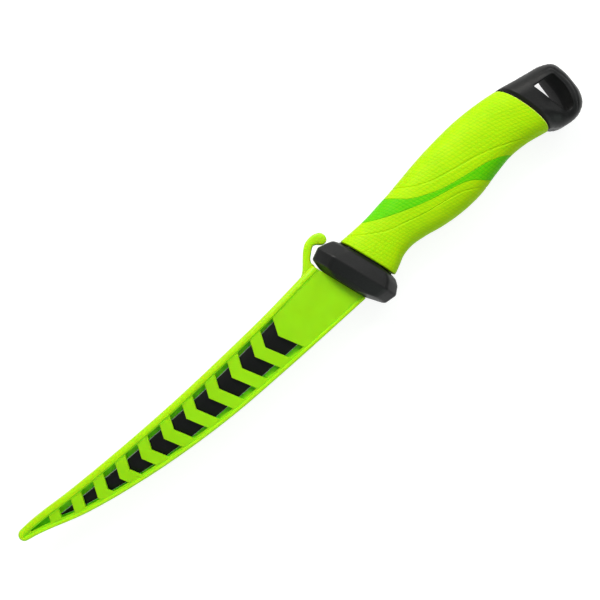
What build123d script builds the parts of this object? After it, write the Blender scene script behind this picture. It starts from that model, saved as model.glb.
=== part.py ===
"""Fillet knife in its vented sheath, lying on its side.

Millimetres. +X runs from the sheath's tip to the butt, +Y from the edge to the spine, +Z up.
The origin is the middle of the guard's lower land, where the knife stands on the floor.
"""

import os
from math import cos, radians, sin

from build123d import *

os.makedirs("parts", exist_ok=True)

# Guard: a faceted bar across the knife, its edge end leaning towards the butt
guard_height = 43.7
guard_depth = 26.4
guard_thickness = 15.6
guard_tilt = 16.5
guard_land = 1.8
guard_chamfer = 7.4
guard_chamfer_depth = 6.2
guard_edge_round = 1.2

# Blade: coated steel, drawn out from the guard, with a stick tang that ends before the cap's joint
blade_reach = 184.2
blade_height = 18.7
blade_thickness = 2.0
edge_bevel = 1.0
edge_bevel_thickness = 0.5
edge_thickness = 0.12
tang_gap = 15.5

# Sheath: two thin shells that meet on the knife's middle plane
tip_room = 19.8
spine_room = 4.2
edge_room = 5.3
sheath_wall = 1.7
side_gap = 0.7
rim_rise = 0.8
rim_round = 2.2
spine_rim = 3.7
edge_rim = 1.9
window_margin = 2.8
mouth_gap = 0.3
throat_length = 7.0
throat_clearance = 0.4

# Chevron windows, counted from the mouth, by the sheath's reach
window_count = 11
first_window_share = 0.274
window_pitch_share = 0.0729
window_width_share = 0.0408
window_slant = 25.0
window_middle = 1.85
window_shrink_share = 0.99

# Latch: a hooked tongue that springs over the guard
latch_depth = 4.0
bead_radius = 3.0
bead_behind_corner = 2.0
latch_clearance = 0.2
latch_edge_round = 0.5
latch_root_width = 5.6
latch_sink = 1.0
neck_turn = 200
nose_turn = -35
crown_turn = 90

# Handle: a hard core in two halves, a soft sleeve over it and a wave inlaid in the sleeve. The
# core and the tang follow the grip's height and depth
grip_reach = 111.5
grip_height = 34.2
grip_depth = 24.8
joint_tilt = 12.0
wave_depth = 1.0
core_height_share = 0.468
core_depth_share = 0.524
tang_height_share = 0.32
tang_middle_share = 0.117
core_round = 2.5
core_pocket = 4.0
tenon_length = 6.0

# Tang rivets: how far the first stands behind the guard, and the last before the tang's end
rivet_count = 3
rivet_radius = 2.0
rivet_head_radius = 3.4
rivet_head = 1.0
rivet_reach = 28.0
rivet_end_gap = 16.0

# End cap with its lanyard slot
cap_length = 25.4
cap_height = 34.2
cap_depth = 25.0
cap_round = 8.0
slot_round = 2.2
slot_lip = 1.2
pin_radius = 1.5
pin_length = 17.0

# How far a cutting tool runs past what it cuts
overrun = 2.0

# What follows from the sizes above
middle = guard_depth / 2
sheath_reach = blade_reach + tip_room
sheath_width = blade_height + spine_room + edge_room
cavity_half = blade_thickness / 2 + side_gap
panel_half = cavity_half + sheath_wall
sheath_half = panel_half + rim_rise
core_height = core_height_share * grip_height
core_depth = core_depth_share * grip_depth
tang_height = tang_height_share * grip_height
tang_middle = tang_middle_share * grip_height
tang_end = grip_reach - tang_gap
rivet_pitch = (tang_end - rivet_end_gap - rivet_reach) / (rivet_count - 1)
tilt = radians(guard_tilt)
cap_tilt = radians(joint_tilt)

# The knife's middle plane, the guard's plane square to its own thickness, and the cap's joint
side_plane = Plane.XY.offset(middle)
guard_plane = Plane(
    origin=(0, 0, middle), x_dir=(-sin(tilt), cos(tilt), 0), z_dir=(cos(tilt), sin(tilt), 0)
)
joint_plane = Plane(
    origin=(grip_reach, tang_middle, middle),
    x_dir=(-sin(cap_tilt), cos(cap_tilt), 0),
    z_dir=(cos(cap_tilt), sin(cap_tilt), 0),
)
guard_back = guard_plane.offset(guard_thickness / 2)
mouth_plane = guard_plane.offset(-guard_thickness / 2 - mouth_gap)

# Guard sections, front to back: place along the thickness, reach to the spine end, reach to
# the edge end, and half depth, as shares of the guard's thickness, height and depth. The lands
# stand a hair proud, to be cut flat
guard_shares = [
    (-0.5, 0.355, 0.252, 0.335),
    (-0.345, 0.457, 0.467, 0.425),
    (-0.5 * guard_land / guard_thickness, 0.477, 0.502, 0.5015),
    (0.5 * guard_land / guard_thickness, 0.486, 0.512, 0.5015),
    (0.30, 0.424, 0.474, 0.452),
    (0.45, 0.382, 0.418, 0.420),
    (0.5, 0.330, 0.370, 0.405),
]

# Blade sections, guard to tip: place along the reach, spine and edge heights as shares of the
# blade's height, and thickness
blade_shares = [
    (0.022, 0.604, -0.396, 1.0),
    (0.13, 0.537, -0.398, 1.0),
    (0.24, 0.460, -0.401, 0.98),
    (0.353, 0.385, -0.401, 0.95),
    (0.46, 0.342, -0.393, 0.92),
    (0.56, 0.329, -0.364, 0.88),
    (0.652, 0.332, -0.305, 0.84),
    (0.74, 0.340, -0.193, 0.80),
    (0.82, 0.358, -0.059, 0.75),
    (0.896, 0.396, 0.107, 0.68),
    (0.955, 0.422, 0.262, 0.60),
    (1.0, 0.449, 0.428, 0.50),
]
taper_start_share = 0.4

# The sheath's spine and edge curves, mouth to tip: place along its reach, height by its width
spine_shares = [
    (0.02, 0.590),
    (0.105, 0.546),
    (0.208, 0.489),
    (0.350, 0.447),
    (0.524, 0.422),
    (0.701, 0.443),
    (0.843, 0.489),
    (0.979, 0.557),
]
edge_shares = [
    (-0.02, -0.454),
    (0.281, -0.454),
    (0.422, -0.433),
    (0.560, -0.355),
    (0.701, -0.213),
    (0.843, 0.007),
    (0.965, 0.294),
]
tip_height_share = 0.440

# Grip sections, guard to cap: place along the reach, spine and edge heights, and half depth
grip_shares = [
    (0.020, 0.471, -0.421, 0.411),
    (0.072, 0.464, -0.412, 0.408),
    (0.126, 0.458, -0.398, 0.403),
    (0.161, 0.456, -0.351, 0.395),
    (0.197, 0.456, -0.295, 0.387),
    (0.251, 0.468, -0.262, 0.391),
    (0.323, 0.496, -0.285, 0.419),
    (0.413, 0.538, -0.348, 0.460),
    (0.520, 0.586, -0.386, 0.492),
    (0.628, 0.617, -0.374, 0.500),
    (0.735, 0.632, -0.304, 0.488),
    (0.825, 0.620, -0.260, 0.476),
    (0.915, 0.588, -0.273, 0.480),
    (1.005, 0.535, -0.333, 0.496),
    (1.076, 0.485, -0.386, 0.504),
]
grip_corner_share = 0.77

# The two banks of the wave, spine to edge, by the grip's reach and height
upper_bank_shares = [
    (0.26, 0.66),
    (0.323, 0.404),
    (0.401, 0.193),
    (0.532, 0.029),
    (0.711, -0.088),
    (0.83, -0.254),
    (0.94, -0.50),
]
lower_bank_shares = [
    (0.10, 0.66),
    (0.188, 0.380),
    (0.315, 0.184),
    (0.445, 0.032),
    (0.577, -0.079),
    (0.661, -0.257),
    (0.76, -0.50),
]

# Cap outline round from the joint's spine end, by the cap's length and height from the joint
cap_outline_shares = [
    (-0.40, 0.455),
    (0.20, 0.400),
    (0.73, 0.287),
    (0.96, 0.105),
    (0.995, -0.187),
    (0.885, -0.430),
    (0.67, -0.544),
    (0.31, -0.553),
    (-0.20, -0.40),
]

# Lanyard slot: its corners from the joint's spine side round to the edge side, then the
# butt side's crown
slot_corner_shares = [(0.30, 0.152), (0.768, 0.088), (0.665, -0.436), (0.437, -0.415)]
slot_crown_share = (0.785, -0.175)

# The latch's outer and inner lines, root to bead: across from its outer root to the bead's
# middle, and up from the root to the bead's top
latch_outer_shares = [(0.0, 0.0), (0.26, 0.43), (0.53, 0.86), (0.75, 0.985)]
latch_inner_shares = [(0.345, 0.16), (0.42, 0.30), (0.55, 0.47), (0.67, 0.585)]


def scaled(shares, along, across, start=(0, 0)):
    """Points of an outline: each share times the size that it follows, from a start."""
    return [(start[0] + a * along, start[1] + b * across) for a, b in shares]


def on_guard(along, up):
    """The place in XY of a point given by the guard's thickness and its slanted height."""
    return (along * cos(tilt) - up * sin(tilt), along * sin(tilt) + up * cos(tilt))


def sheath_spine(inset):
    return [(-x, y - inset) for x, y in scaled(spine_shares, sheath_reach, sheath_width)]


def sheath_edge(inset):
    return [(-x, y + inset) for x, y in scaled(edge_shares, sheath_reach, sheath_width)]


def sheath_area(spine_inset, edge_inset):
    """The area between the sheath's spine and edge curves, each moved in by its inset."""
    spine = sheath_spine(spine_inset)
    edge = sheath_edge(edge_inset)
    far = -sheath_reach
    with BuildSketch(side_plane) as area:
        with BuildLine():
            Spline(*spine)
            run_on = (far, spine[-1][1])
            Polyline(spine[-1], run_on, (far, -sheath_width), (spine[0][0], -sheath_width), spine[0])
        make_face()
        with BuildLine():
            Spline(*edge)
            run_on = (far, edge[-1][1] + (edge[-1][0] - far) / 2)
            Polyline(edge[-1], run_on, (far, sheath_width), (edge[0][0], sheath_width), edge[0])
        make_face(mode=Mode.INTERSECT)
    return area.sketch


# Blade, ground flat from a spine of even thickness to a fine bevel, and its tang
with BuildPart() as blade:
    for along, spine, edge, thick in blade_shares:
        top = spine * blade_height
        bottom = edge * blade_height
        half = thick * blade_thickness / 2
        bevel = min(edge_bevel, (top - bottom) / 3)
        taper = top - taper_start_share * (top - bottom)
        bevel_half = thick * edge_bevel_thickness / 2
        with BuildSketch(Plane.YZ.offset(-along * blade_reach)):
            with BuildLine():
                Polyline(
                    (top, middle + half),
                    (taper, middle + half),
                    (bottom + bevel, middle + bevel_half),
                    (bottom, middle + edge_thickness / 2),
                    (bottom, middle - edge_thickness / 2),
                    (bottom + bevel, middle - bevel_half),
                    (taper, middle - half),
                    (top, middle - half),
                    close=True,
                )
            make_face()
    loft()
    heel = -blade_shares[0][0] * blade_reach
    tang_length = tang_end - heel
    with BuildSketch(side_plane):
        with Locations((heel + tang_length / 2, tang_middle)):
            Rectangle(tang_length, tang_height)
    extrude(amount=blade_thickness / 2, both=True)
    with Locations(*[(rivet_reach + n * rivet_pitch, tang_middle, middle) for n in range(rivet_count)]):
        Cylinder(rivet_radius, blade_thickness + overrun, mode=Mode.SUBTRACT)
blade.part.label = "blade"

# Core blank: the bar inside the grip, from the guard's pocket to the cap's
with BuildPart() as core_blank:
    core_start = -core_pocket
    core_length = grip_reach + 2 * tenon_length - core_start
    with BuildSketch(Plane.YZ.offset(core_start)):
        with Locations((tang_middle, middle)):
            RectangleRounded(core_height, core_depth, core_round)
    extrude(amount=core_length)
    split(bisect_by=guard_back.offset(-core_pocket), keep=Keep.TOP)
    split(bisect_by=joint_plane.offset(tenon_length), keep=Keep.BOTTOM)

# Rivets, headed at both ends, flush with the core
with BuildPart() as tang_rivets:
    for n in range(rivet_count):
        with Locations((rivet_reach + n * rivet_pitch, tang_middle, middle)):
            Cylinder(rivet_radius, core_depth)
            head_middle = (core_depth - rivet_head) / 2
            with Locations((0, 0, head_middle), (0, 0, -head_middle)):
                Cylinder(rivet_head_radius, rivet_head)
tang_rivets.part.label = "tang_rivets"

# Pin that holds the cap on the core's tenon, pressed in from the far side
pin_place = joint_plane.from_local_coords((0, 0, tenon_length / 2))
with BuildPart() as cap_pin:
    with Locations((pin_place.X, pin_place.Y, middle - cap_depth / 2 + pin_length / 2)):
        Cylinder(pin_radius, pin_length)
cap_pin.part.label = "cap_pin"

# The core's two halves, split on the middle plane round the tang
with BuildPart() as core_left:
    add(core_blank.part)
    split(bisect_by=side_plane, keep=Keep.TOP)
    add(blade.part, mode=Mode.SUBTRACT)
    add(tang_rivets.part, mode=Mode.SUBTRACT)
    add(cap_pin.part, mode=Mode.SUBTRACT)
core_left.part.label = "core_left"

with BuildPart() as core_right:
    add(core_blank.part)
    split(bisect_by=side_plane, keep=Keep.BOTTOM)
    add(blade.part, mode=Mode.SUBTRACT)
    add(tang_rivets.part, mode=Mode.SUBTRACT)
    add(cap_pin.part, mode=Mode.SUBTRACT)
core_right.part.label = "core_right"

# Guard, moulded round the blade's heel, with a pocket behind for the core
with BuildPart() as guard:
    for along, spine, edge, deep in guard_shares:
        top = spine * guard_height
        bottom = -edge * guard_height
        half = deep * guard_depth
        flat = half - guard_chamfer_depth
        with BuildSketch(guard_plane.offset(along * guard_thickness)):
            with BuildLine():
                Polyline(
                    (top, flat),
                    (top - guard_chamfer, half),
                    (bottom + guard_chamfer, half),
                    (bottom, flat),
                    (bottom, -flat),
                    (bottom + guard_chamfer, -half),
                    (top - guard_chamfer, -half),
                    (top, -flat),
                    close=True,
                )
            make_face()
    loft(ruled=True)
    fillet(edges(), guard_edge_round)
    split(bisect_by=Plane.XY, keep=Keep.TOP)
    split(bisect_by=Plane.XY.offset(guard_depth), keep=Keep.BOTTOM)
    add(blade.part, mode=Mode.SUBTRACT)
    add(core_blank.part, mode=Mode.SUBTRACT)
guard.part.label = "guard"


def grip_body(shrink):
    """The grip's soft oval form, drawn in all round by shrink."""
    with BuildPart() as body:
        for along, spine, edge, deep in grip_shares:
            centre = (spine + edge) / 2 * grip_height
            high = (spine - edge) / 2 * grip_height - shrink
            wide = deep * grip_depth - shrink
            corner_high = grip_corner_share * high
            corner_wide = grip_corner_share * wide
            with BuildSketch(Plane.YZ.offset(along * grip_reach)):
                with BuildLine():
                    Spline(
                        (centre + high, middle),
                        (centre + corner_high, middle + corner_wide),
                        (centre, middle + wide),
                        (centre - corner_high, middle + corner_wide),
                        (centre - high, middle),
                        (centre - corner_high, middle - corner_wide),
                        (centre, middle - wide),
                        (centre + corner_high, middle - corner_wide),
                        periodic=True,
                    )
                make_face()
        loft()
        split(bisect_by=guard_back, keep=Keep.TOP)
        split(bisect_by=joint_plane, keep=Keep.BOTTOM)
    return body.part


grip_form = grip_body(0)

# Wave: a closed ring of the second colour, inlaid round the grip
with BuildPart() as grip_wave:
    with BuildSketch(side_plane):
        with BuildLine():
            upper = scaled(upper_bank_shares, grip_reach, grip_height)
            lower = scaled(lower_bank_shares, grip_reach, grip_height)
            Spline(*upper)
            Spline(*lower)
            Line(upper[0], lower[0])
            Line(upper[-1], lower[-1])
        make_face()
    extrude(amount=grip_depth, both=True)
    add(grip_form, mode=Mode.INTERSECT)
    add(grip_body(wave_depth), mode=Mode.SUBTRACT)
grip_wave.part.label = "grip_wave"

# Sleeve, moulded over the core
with BuildPart() as grip_sleeve:
    add(grip_form)
    add(core_blank.part, mode=Mode.SUBTRACT)
    add(grip_wave.part, mode=Mode.SUBTRACT)
grip_sleeve.part.label = "grip_sleeve"

# End cap, rounded over its faces, with the lanyard slot through it
cap_start = (grip_reach, tang_middle)
with BuildPart() as end_cap:
    with BuildSketch(side_plane):
        with BuildLine():
            cap_points = scaled(cap_outline_shares, cap_length, cap_height, cap_start)
            Spline(*cap_points)
            Line(cap_points[-1], cap_points[0])
        make_face()
    extrude(amount=cap_depth / 2, both=True)
    faces_up_down = end_cap.faces().filter_by(Axis.Z)
    fillet(faces_up_down.edges().filter_by(GeomType.BSPLINE), cap_round)
    split(bisect_by=joint_plane, keep=Keep.TOP)
    with BuildSketch(side_plane):
        with BuildLine():
            slot = scaled(slot_corner_shares, cap_length, cap_height, cap_start)
            slot_crown = scaled([slot_crown_share], cap_length, cap_height, cap_start)[0]
            Line(slot[0], slot[1])
            ThreePointArc(slot[1], slot_crown, slot[2])
            Line(slot[2], slot[3])
            Line(slot[3], slot[0])
        make_face()
        fillet(vertices(), slot_round)
    extrude(amount=cap_depth, both=True, mode=Mode.SUBTRACT)
    fillet(edges(Select.LAST).filter_by(Axis.Z, reverse=True), slot_lip)
    add(core_blank.part, mode=Mode.SUBTRACT)
    add(cap_pin.part, mode=Mode.SUBTRACT)
end_cap.part.label = "end_cap"

# What the sheath's halves are hollowed by: the long hollow and the close throat at the mouth
with BuildPart() as sheath_hollow:
    with BuildSketch(side_plane):
        add(sheath_area(sheath_wall, sheath_wall))
        with Locations((-sheath_reach, 0)):
            Rectangle(4 * sheath_wall, 2 * sheath_width, mode=Mode.SUBTRACT)
    extrude(amount=cavity_half, both=True)
    split(bisect_by=mouth_plane.offset(-throat_length), keep=Keep.BOTTOM)
    throat_top = max(row[1] for row in blade_shares) * blade_height + throat_clearance
    throat_bottom = min(row[2] for row in blade_shares) * blade_height - throat_clearance
    throat_reach = guard_height / 2 + throat_length
    with BuildSketch(side_plane):
        with Locations((-throat_reach / 2, (throat_top + throat_bottom) / 2)):
            Rectangle(throat_reach, throat_top - throat_bottom)
    extrude(amount=blade_thickness / 2 + throat_clearance, both=True)

# One half of the sheath without its windows
with BuildPart() as sheath_shell:
    with BuildSketch(side_plane):
        with BuildLine():
            spine_line = sheath_spine(0)
            edge_line = sheath_edge(0)
            Spline(*spine_line)
            ThreePointArc(spine_line[-1], (-sheath_reach, tip_height_share * sheath_width), edge_line[-1])
            Spline(*edge_line)
            Line(edge_line[0], spine_line[0])
        make_face()
    extrude(amount=sheath_half)
    top_edges = sheath_shell.faces().sort_by(Axis.Z)[-1].edges()
    fillet(top_edges.filter_by(GeomType.LINE, reverse=True), rim_round)
    split(bisect_by=mouth_plane, keep=Keep.BOTTOM)
    with BuildSketch(side_plane.offset(panel_half)):
        add(sheath_area(spine_rim, edge_rim))
    extrude(amount=rim_rise + overrun, mode=Mode.SUBTRACT)
    add(sheath_hollow.part, mode=Mode.SUBTRACT)

with BuildPart() as sheath_back:
    mirror(sheath_shell.part, about=side_plane)
sheath_back.part.label = "sheath_back"

# The near half, with chevron windows that shrink towards the tip
slant = sin(radians(window_slant)) / cos(radians(window_slant))
with BuildPart() as sheath_front:
    add(sheath_shell.part)
    with BuildSketch(side_plane):
        place = -first_window_share * sheath_reach
        pitch = window_pitch_share * sheath_reach
        width = window_width_share * sheath_reach
        rise = sheath_width
        lean = slant * rise
        for n in range(window_count):
            with BuildLine():
                Polyline(
                    (place, window_middle),
                    (place + lean, window_middle + rise),
                    (place + width + lean, window_middle + rise),
                    (place + width, window_middle),
                    (place + width + lean, window_middle - rise),
                    (place + lean, window_middle - rise),
                    close=True,
                )
            make_face()
            place -= pitch
            pitch *= window_shrink_share
            width *= window_shrink_share
        add(sheath_area(spine_rim, window_margin), mode=Mode.INTERSECT)
    extrude(amount=sheath_half + overrun, mode=Mode.SUBTRACT)
sheath_front.part.label = "sheath_front"

# Latch: from the sheath's spine by the mouth, up and over the guard's spine corner
corner_row = guard_shares[3]
guard_corner = on_guard(corner_row[0] * guard_thickness, corner_row[1] * guard_height)
bead = (guard_corner[0] + bead_behind_corner, guard_corner[1] + latch_clearance + bead_radius)
mouth_spine = spine_shares[0][1] * sheath_width
mouth_start = -guard_thickness / 2 - mouth_gap
root_in = ((mouth_start - mouth_spine * sin(tilt)) / cos(tilt), mouth_spine)
root_out = (root_in[0] - latch_root_width, root_in[1] - latch_sink)
latch_reach = bead[0] - root_out[0]
latch_rise = bead[1] + bead_radius - root_out[1]
with BuildPart() as sheath_latch:
    with BuildSketch(side_plane):
        with BuildLine():
            outer = scaled(latch_outer_shares, latch_reach, latch_rise, root_out)
            inner = scaled(latch_inner_shares, latch_reach, latch_rise, root_out)
            neck, nose, crown = (
                (bead[0] + bead_radius * cos(radians(turn)), bead[1] + bead_radius * sin(radians(turn)))
                for turn in (neck_turn, nose_turn, crown_turn)
            )
            Spline(*outer, crown)
            ThreePointArc(crown, nose, neck)
            Spline(*inner, neck)
            Polyline(inner[0], (root_in[0], root_out[1]), root_out)
        make_face()
    extrude(amount=latch_depth / 2, both=True)
    fillet(faces().filter_by(Axis.Z).edges(), latch_edge_round)
    add(sheath_front.part, mode=Mode.SUBTRACT)
    add(sheath_back.part, mode=Mode.SUBTRACT)
sheath_latch.part.label = "sheath_latch"

for piece in (
    blade,
    guard,
    core_left,
    core_right,
    tang_rivets,
    grip_sleeve,
    grip_wave,
    end_cap,
    cap_pin,
    sheath_front,
    sheath_back,
    sheath_latch,
):
    export_step(piece.part, f"parts/{piece.part.label}.step")
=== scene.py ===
"""Fillet knife in its vented sheath: the looks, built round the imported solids.

Laid out as an add-on and run as a script. Shapes are worked out in millimetres in the solids'
frame: +X to the butt, +Y to the spine, +Z up, and the floor at zero. Each shape function gives
points, quads and marks, which are numbers at the points that its material reads.
"""

from functools import partial
from math import atan, cos, pi, radians, sin, tan

import bpy
import numpy as np
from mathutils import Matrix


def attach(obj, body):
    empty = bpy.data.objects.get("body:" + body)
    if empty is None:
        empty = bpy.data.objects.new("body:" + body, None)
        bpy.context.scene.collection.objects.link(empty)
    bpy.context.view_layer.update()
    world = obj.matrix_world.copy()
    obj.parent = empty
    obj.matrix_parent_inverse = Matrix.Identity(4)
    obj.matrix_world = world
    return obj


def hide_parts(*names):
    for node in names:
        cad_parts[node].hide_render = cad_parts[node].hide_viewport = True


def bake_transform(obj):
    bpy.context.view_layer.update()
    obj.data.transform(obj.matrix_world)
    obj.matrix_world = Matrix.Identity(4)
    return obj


bl_info = {
    "name": "Fillet Knife",
    "version": (1, 0, 0),
    "blender": (4, 5, 0),
    "location": "3D View > Sidebar > Knife",
    "description": "Builds a fillet knife in its vented sheath round its solids",
    "category": "Add Mesh",
}

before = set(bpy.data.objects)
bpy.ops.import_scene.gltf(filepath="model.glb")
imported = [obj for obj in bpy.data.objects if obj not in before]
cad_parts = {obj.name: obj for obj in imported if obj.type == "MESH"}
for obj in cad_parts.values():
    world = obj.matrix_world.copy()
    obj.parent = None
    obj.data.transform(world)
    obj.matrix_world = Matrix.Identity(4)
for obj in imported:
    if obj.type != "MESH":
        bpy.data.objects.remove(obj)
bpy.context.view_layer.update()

MM = 0.001
TINY = 1e-6
SHARP_ANGLE = radians(35)

# A rounded corner cuts at most this share off the shorter of its two sides
MOST_CUT_SHARE = 0.48

# The knife's middle plane and the guard's lean
MIDDLE = 13.2
TO_MIDDLE = np.array([0, 0, MIDDLE])
TILT = radians(16.5)

# Guard sections, front to back: place along the thickness, reach to the spine end, reach to the
# edge end and half depth, as shares of its thickness, height and depth. The last two are a collar
GUARD_THICKNESS = 15.6
GUARD_HEIGHT = 43.7
GUARD_DEPTH = 26.4
GUARD_SHARES = np.array([
    (-0.5, 0.345, 0.240, 0.335),
    (-0.345, 0.470, 0.458, 0.412),
    (-0.012, 0.484, 0.506, 0.5024),
    (0.022, 0.486, 0.510, 0.5024),
    (0.30, 0.424, 0.474, 0.443),
    (0.44, 0.385, 0.422, 0.424),
    (0.5, 0.325, 0.370, 0.375),
    (0.505, 0.312, 0.355, 0.345),
    (0.555, 0.312, 0.355, 0.345),
])

# Its chamfers at the spine end and the edge end, and how deep both go. The collar starts behind
# this place and has larger ones. Then the rounding of the corners, and half of the run that rounds
# a ridge
GUARD_CHAMFERS = np.array([8.6, 5.8, 6.2])
COLLAR_PLACE_SHARE = 0.5
COLLAR_CHAMFER_SCALE = 1.4
GUARD_CORNER = 1.3
GUARD_RIDGE = 0.8

# Its sections: how many lie at even steps, and how many more about each ridge, as far to either
# side as this many half runs. A size is the average of so many spots over the run, and a rounded
# corner has so many steps
GUARD_SECTIONS = 30
RIDGE_SECTIONS = 9
RIDGE_NEAR = 1.4
RIDGE_SPOTS = 17
GUARD_CORNER_STEPS = 5

# Blade sections, guard to tip: place along the reach, spine and edge heights, and thickness
BLADE_REACH = 184.2
BLADE_HEIGHT = 18.7
BLADE_THICKNESS = 2.0
EDGE_BEVEL = 1.0
EDGE_BEVEL_THICKNESS = 0.5
EDGE_THICKNESS = 0.12
SPINE_ROUND = 0.5
TAPER_SHARE = 0.4
BLADE_SHARES = np.array([
    (0.022, 0.604, -0.396, 1.0),
    (0.13, 0.537, -0.398, 1.0),
    (0.24, 0.460, -0.401, 0.98),
    (0.353, 0.385, -0.401, 0.95),
    (0.46, 0.342, -0.393, 0.92),
    (0.56, 0.329, -0.364, 0.88),
    (0.652, 0.332, -0.305, 0.84),
    (0.74, 0.340, -0.193, 0.80),
    (0.82, 0.358, -0.059, 0.75),
    (0.896, 0.396, 0.107, 0.68),
    (0.955, 0.422, 0.262, 0.60),
    (1.0, 0.449, 0.428, 0.50),
])

# The blade's sections, closer together at the tip: each run's ends, as shares of the reach, and
# how many sections it has
BLADE_RUNS = ((0.012, 0.9, 110), (0.905, 1.0, 24))

# Sheath: its curves, mouth to tip, by its reach and width, and its walls
SHEATH_REACH = 204.0
SHEATH_WIDTH = 28.2
MOUTH = -8.1
PANEL_LEVEL = 3.4
RIM_LEVEL = 4.2
HOLLOW_LEVEL = 1.7
THROAT_LEVEL = 1.4
THROAT_LENGTH = 7.0
THROAT_BLEND = 0.3
THROAT_TOP = 11.7
THROAT_BOTTOM = -7.9
WALL = 1.7
SPINE_RIM = 3.7
EDGE_RIM = 1.9
SPINE_CURVE = np.array([
    (0.02, 0.590), (0.105, 0.546), (0.208, 0.489), (0.350, 0.447),
    (0.524, 0.422), (0.701, 0.443), (0.843, 0.489), (0.965, 0.550), (0.9863, 0.546),
])
EDGE_CURVE = np.array([
    (-0.02, -0.454), (0.281, -0.454), (0.422, -0.433), (0.560, -0.355),
    (0.701, -0.213), (0.843, 0.007), (0.965, 0.294), (0.9863, 0.330),
])
TIP_HEIGHT_SHARE = 0.440
TIP_STEPS = 12

# Roundings of the two rims and, where they meet, of the tip. A rim's foot steps down to the panel
# by rows at these distances from the foot and below the rim's top
SPINE_RIM_ROUND = 2.2
EDGE_RIM_ROUND = 1.45
TIP_ROUND = 1.7
RIM_STEP = ((0.75, 0.08), (0.45, 0.42), (0.12, 0.76))
RIM_LEAST_FLAT = 0.8
RIM_TURNS = 7

# Rows from the outline over which the inner skin climbs from the seam to the hollow's level
CLIMB_ROWS = 4

# Painted light and shade in the sheath's colour, its glow mark. The panel has this, and a rim's
# foot this, painted partway to the inside's colour along the step. A rim has 1, painted light on
# its thick rounded top, and the inner skin 0, a bright painted glow for light through the walls
PANEL_GLOW = 0.5
RIM_FOOT_GLOW = 0.3

# The seam between the halves: its chamfer's depth and height
SEAM_DEPTH = 0.14
SEAM_HEIGHT = 0.2

# Windows, mouth to tip. The first lies this far from the guard, and each pitch and width is a
# little less than the last
WINDOW_COUNT = 11
FIRST_WINDOW = 55.9
WINDOW_PITCH = 14.87
WINDOW_WIDTH = 8.32
WINDOW_SHRINK = 0.99
WINDOW_MARGIN = 0.9
WINDOW_TOP_GAP = 0.3
WINDOW_MIDDLE = 1.85
WINDOW_SLOPE = tan(radians(25))

# Columns of the sheath's grid: from the mouth to the first window, in a window and in a bar. They
# turn from the mouth's lean to the windows' and stand upright by the tip, over these places
MOUTH_COLUMNS = 22
WINDOW_COLUMNS = 6
BAR_COLUMNS = 5
TURN_IN_RUN = (-24, -50)
UPRIGHT_RUN = (-200, -192)
LEAN_REPEATS = 30

# Rows of the panel, as shares of the way from the windows' top to the points of the chevrons, from
# there to the sill, and from the edge's foot to the sill
UPPER_SHARES = (0.25, 0.5, 0.75, 1.0)
LOWER_SHARES = (0.2, 0.4, 0.6, 0.8, 1.0)
FOOT_SHARE = 0.4

# Grip sections, guard to cap: place along the reach, spine and edge heights, and half depth
GRIP_REACH = 111.5
GRIP_HEIGHT = 34.2
GRIP_DEPTH = 24.8
GRIP_CORNER_SHARE = 0.77
GUARD_BACK = 8.7
GRIP_SHARES = np.array([
    (0.020, 0.455, -0.421, 0.411), (0.072, 0.449, -0.412, 0.408),
    (0.126, 0.446, -0.398, 0.403), (0.161, 0.448, -0.351, 0.395),
    (0.197, 0.453, -0.295, 0.387), (0.251, 0.472, -0.262, 0.391),
    (0.323, 0.496, -0.285, 0.419), (0.413, 0.538, -0.348, 0.460),
    (0.520, 0.586, -0.386, 0.492), (0.628, 0.617, -0.374, 0.500),
    (0.735, 0.632, -0.304, 0.488), (0.825, 0.620, -0.260, 0.476),
    (0.915, 0.588, -0.273, 0.480), (1.005, 0.535, -0.333, 0.496),
    (1.076, 0.485, -0.386, 0.504),
])

# The joint with the cap: a point on it, its lean, and how it bows towards the guard
JOINT_TILT = radians(12)
JOINT_POINT = np.array([GRIP_REACH, 4.0])
JOINT_NORMAL = np.array([cos(JOINT_TILT), sin(JOINT_TILT)])
JOINT_BOW = 1.1
JOINT_BOW_MIDDLE = 5.0
JOINT_BOW_REACH = 15.5

# Lines that cross the grip from spine to edge: an engraved line, the two banks of the wave, and a
# second engraved line
GRIP_LINES = [np.array(points) for points in (
    [
        (3.5, 19.5), (7.5, 15.9), (12.5, 11.9), (16.5, 8.8), (21.5, 5.6), (26.5, 3.3),
        (31.5, 1.9), (36.5, 0.3), (41.5, -1.1), (46.5, -2.2), (51.5, -3.2), (59.5, -4.9),
        (66.5, -7.9), (73.5, -12.0),
    ],
    [
        (11.2, 22.6), (21.0, 13.0), (35.1, 6.3), (49.6, 1.1), (64.3, -2.7), (73.7, -8.8),
        (84.7, -17.1),
    ],
    [
        (29.0, 22.6), (36.0, 13.8), (44.7, 6.6), (59.3, 1.0), (79.3, -3.0), (92.5, -8.7),
        (104.8, -17.1),
    ],
    [
        (38.0, 19.2), (41.4, 15.8), (47.9, 10.9), (55.6, 7.6), (64.8, 5.3), (74.4, 3.2),
        (83.1, 0.7), (91.5, -2.5), (99.5, -5.8), (107.5, -9.8),
    ],
)]

# Profiles across those lines: place, and depth below the skin. An engraved line's are shares of
# its width and depth. The others are in millimetres: the bank that drops to the wave's bed, the
# sleeve's mouth at both ends, and the wave's own edge, which leaves a gap to the bank
ENGRAVED = np.array([
    (-0.5, 0), (-0.33, 0.35), (-0.17, 0.85), (0, 1), (0.17, 0.85), (0.33, 0.35), (0.5, 0),
])
BANK = np.array([(-0.25, 0), (-0.12, 0.01), (-0.03, 0.05), (0, 0.12), (0.02, 1.03)])
SLEEVE_MOUTH = np.array([(0, 0.95), (0.12, 0.4), (0.35, 0.08), (0.7, 0)])
WAVE_EDGE = np.array([(0, 0.12), (0.06, 0.04), (0.16, 0)])
WAVE_GAP = 0.06
WAVE_THICKNESS = 1.0
LEAST_LAND = 1.2
LEAST_STEP = 0.02
MOST_REACH = 6.0

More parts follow.
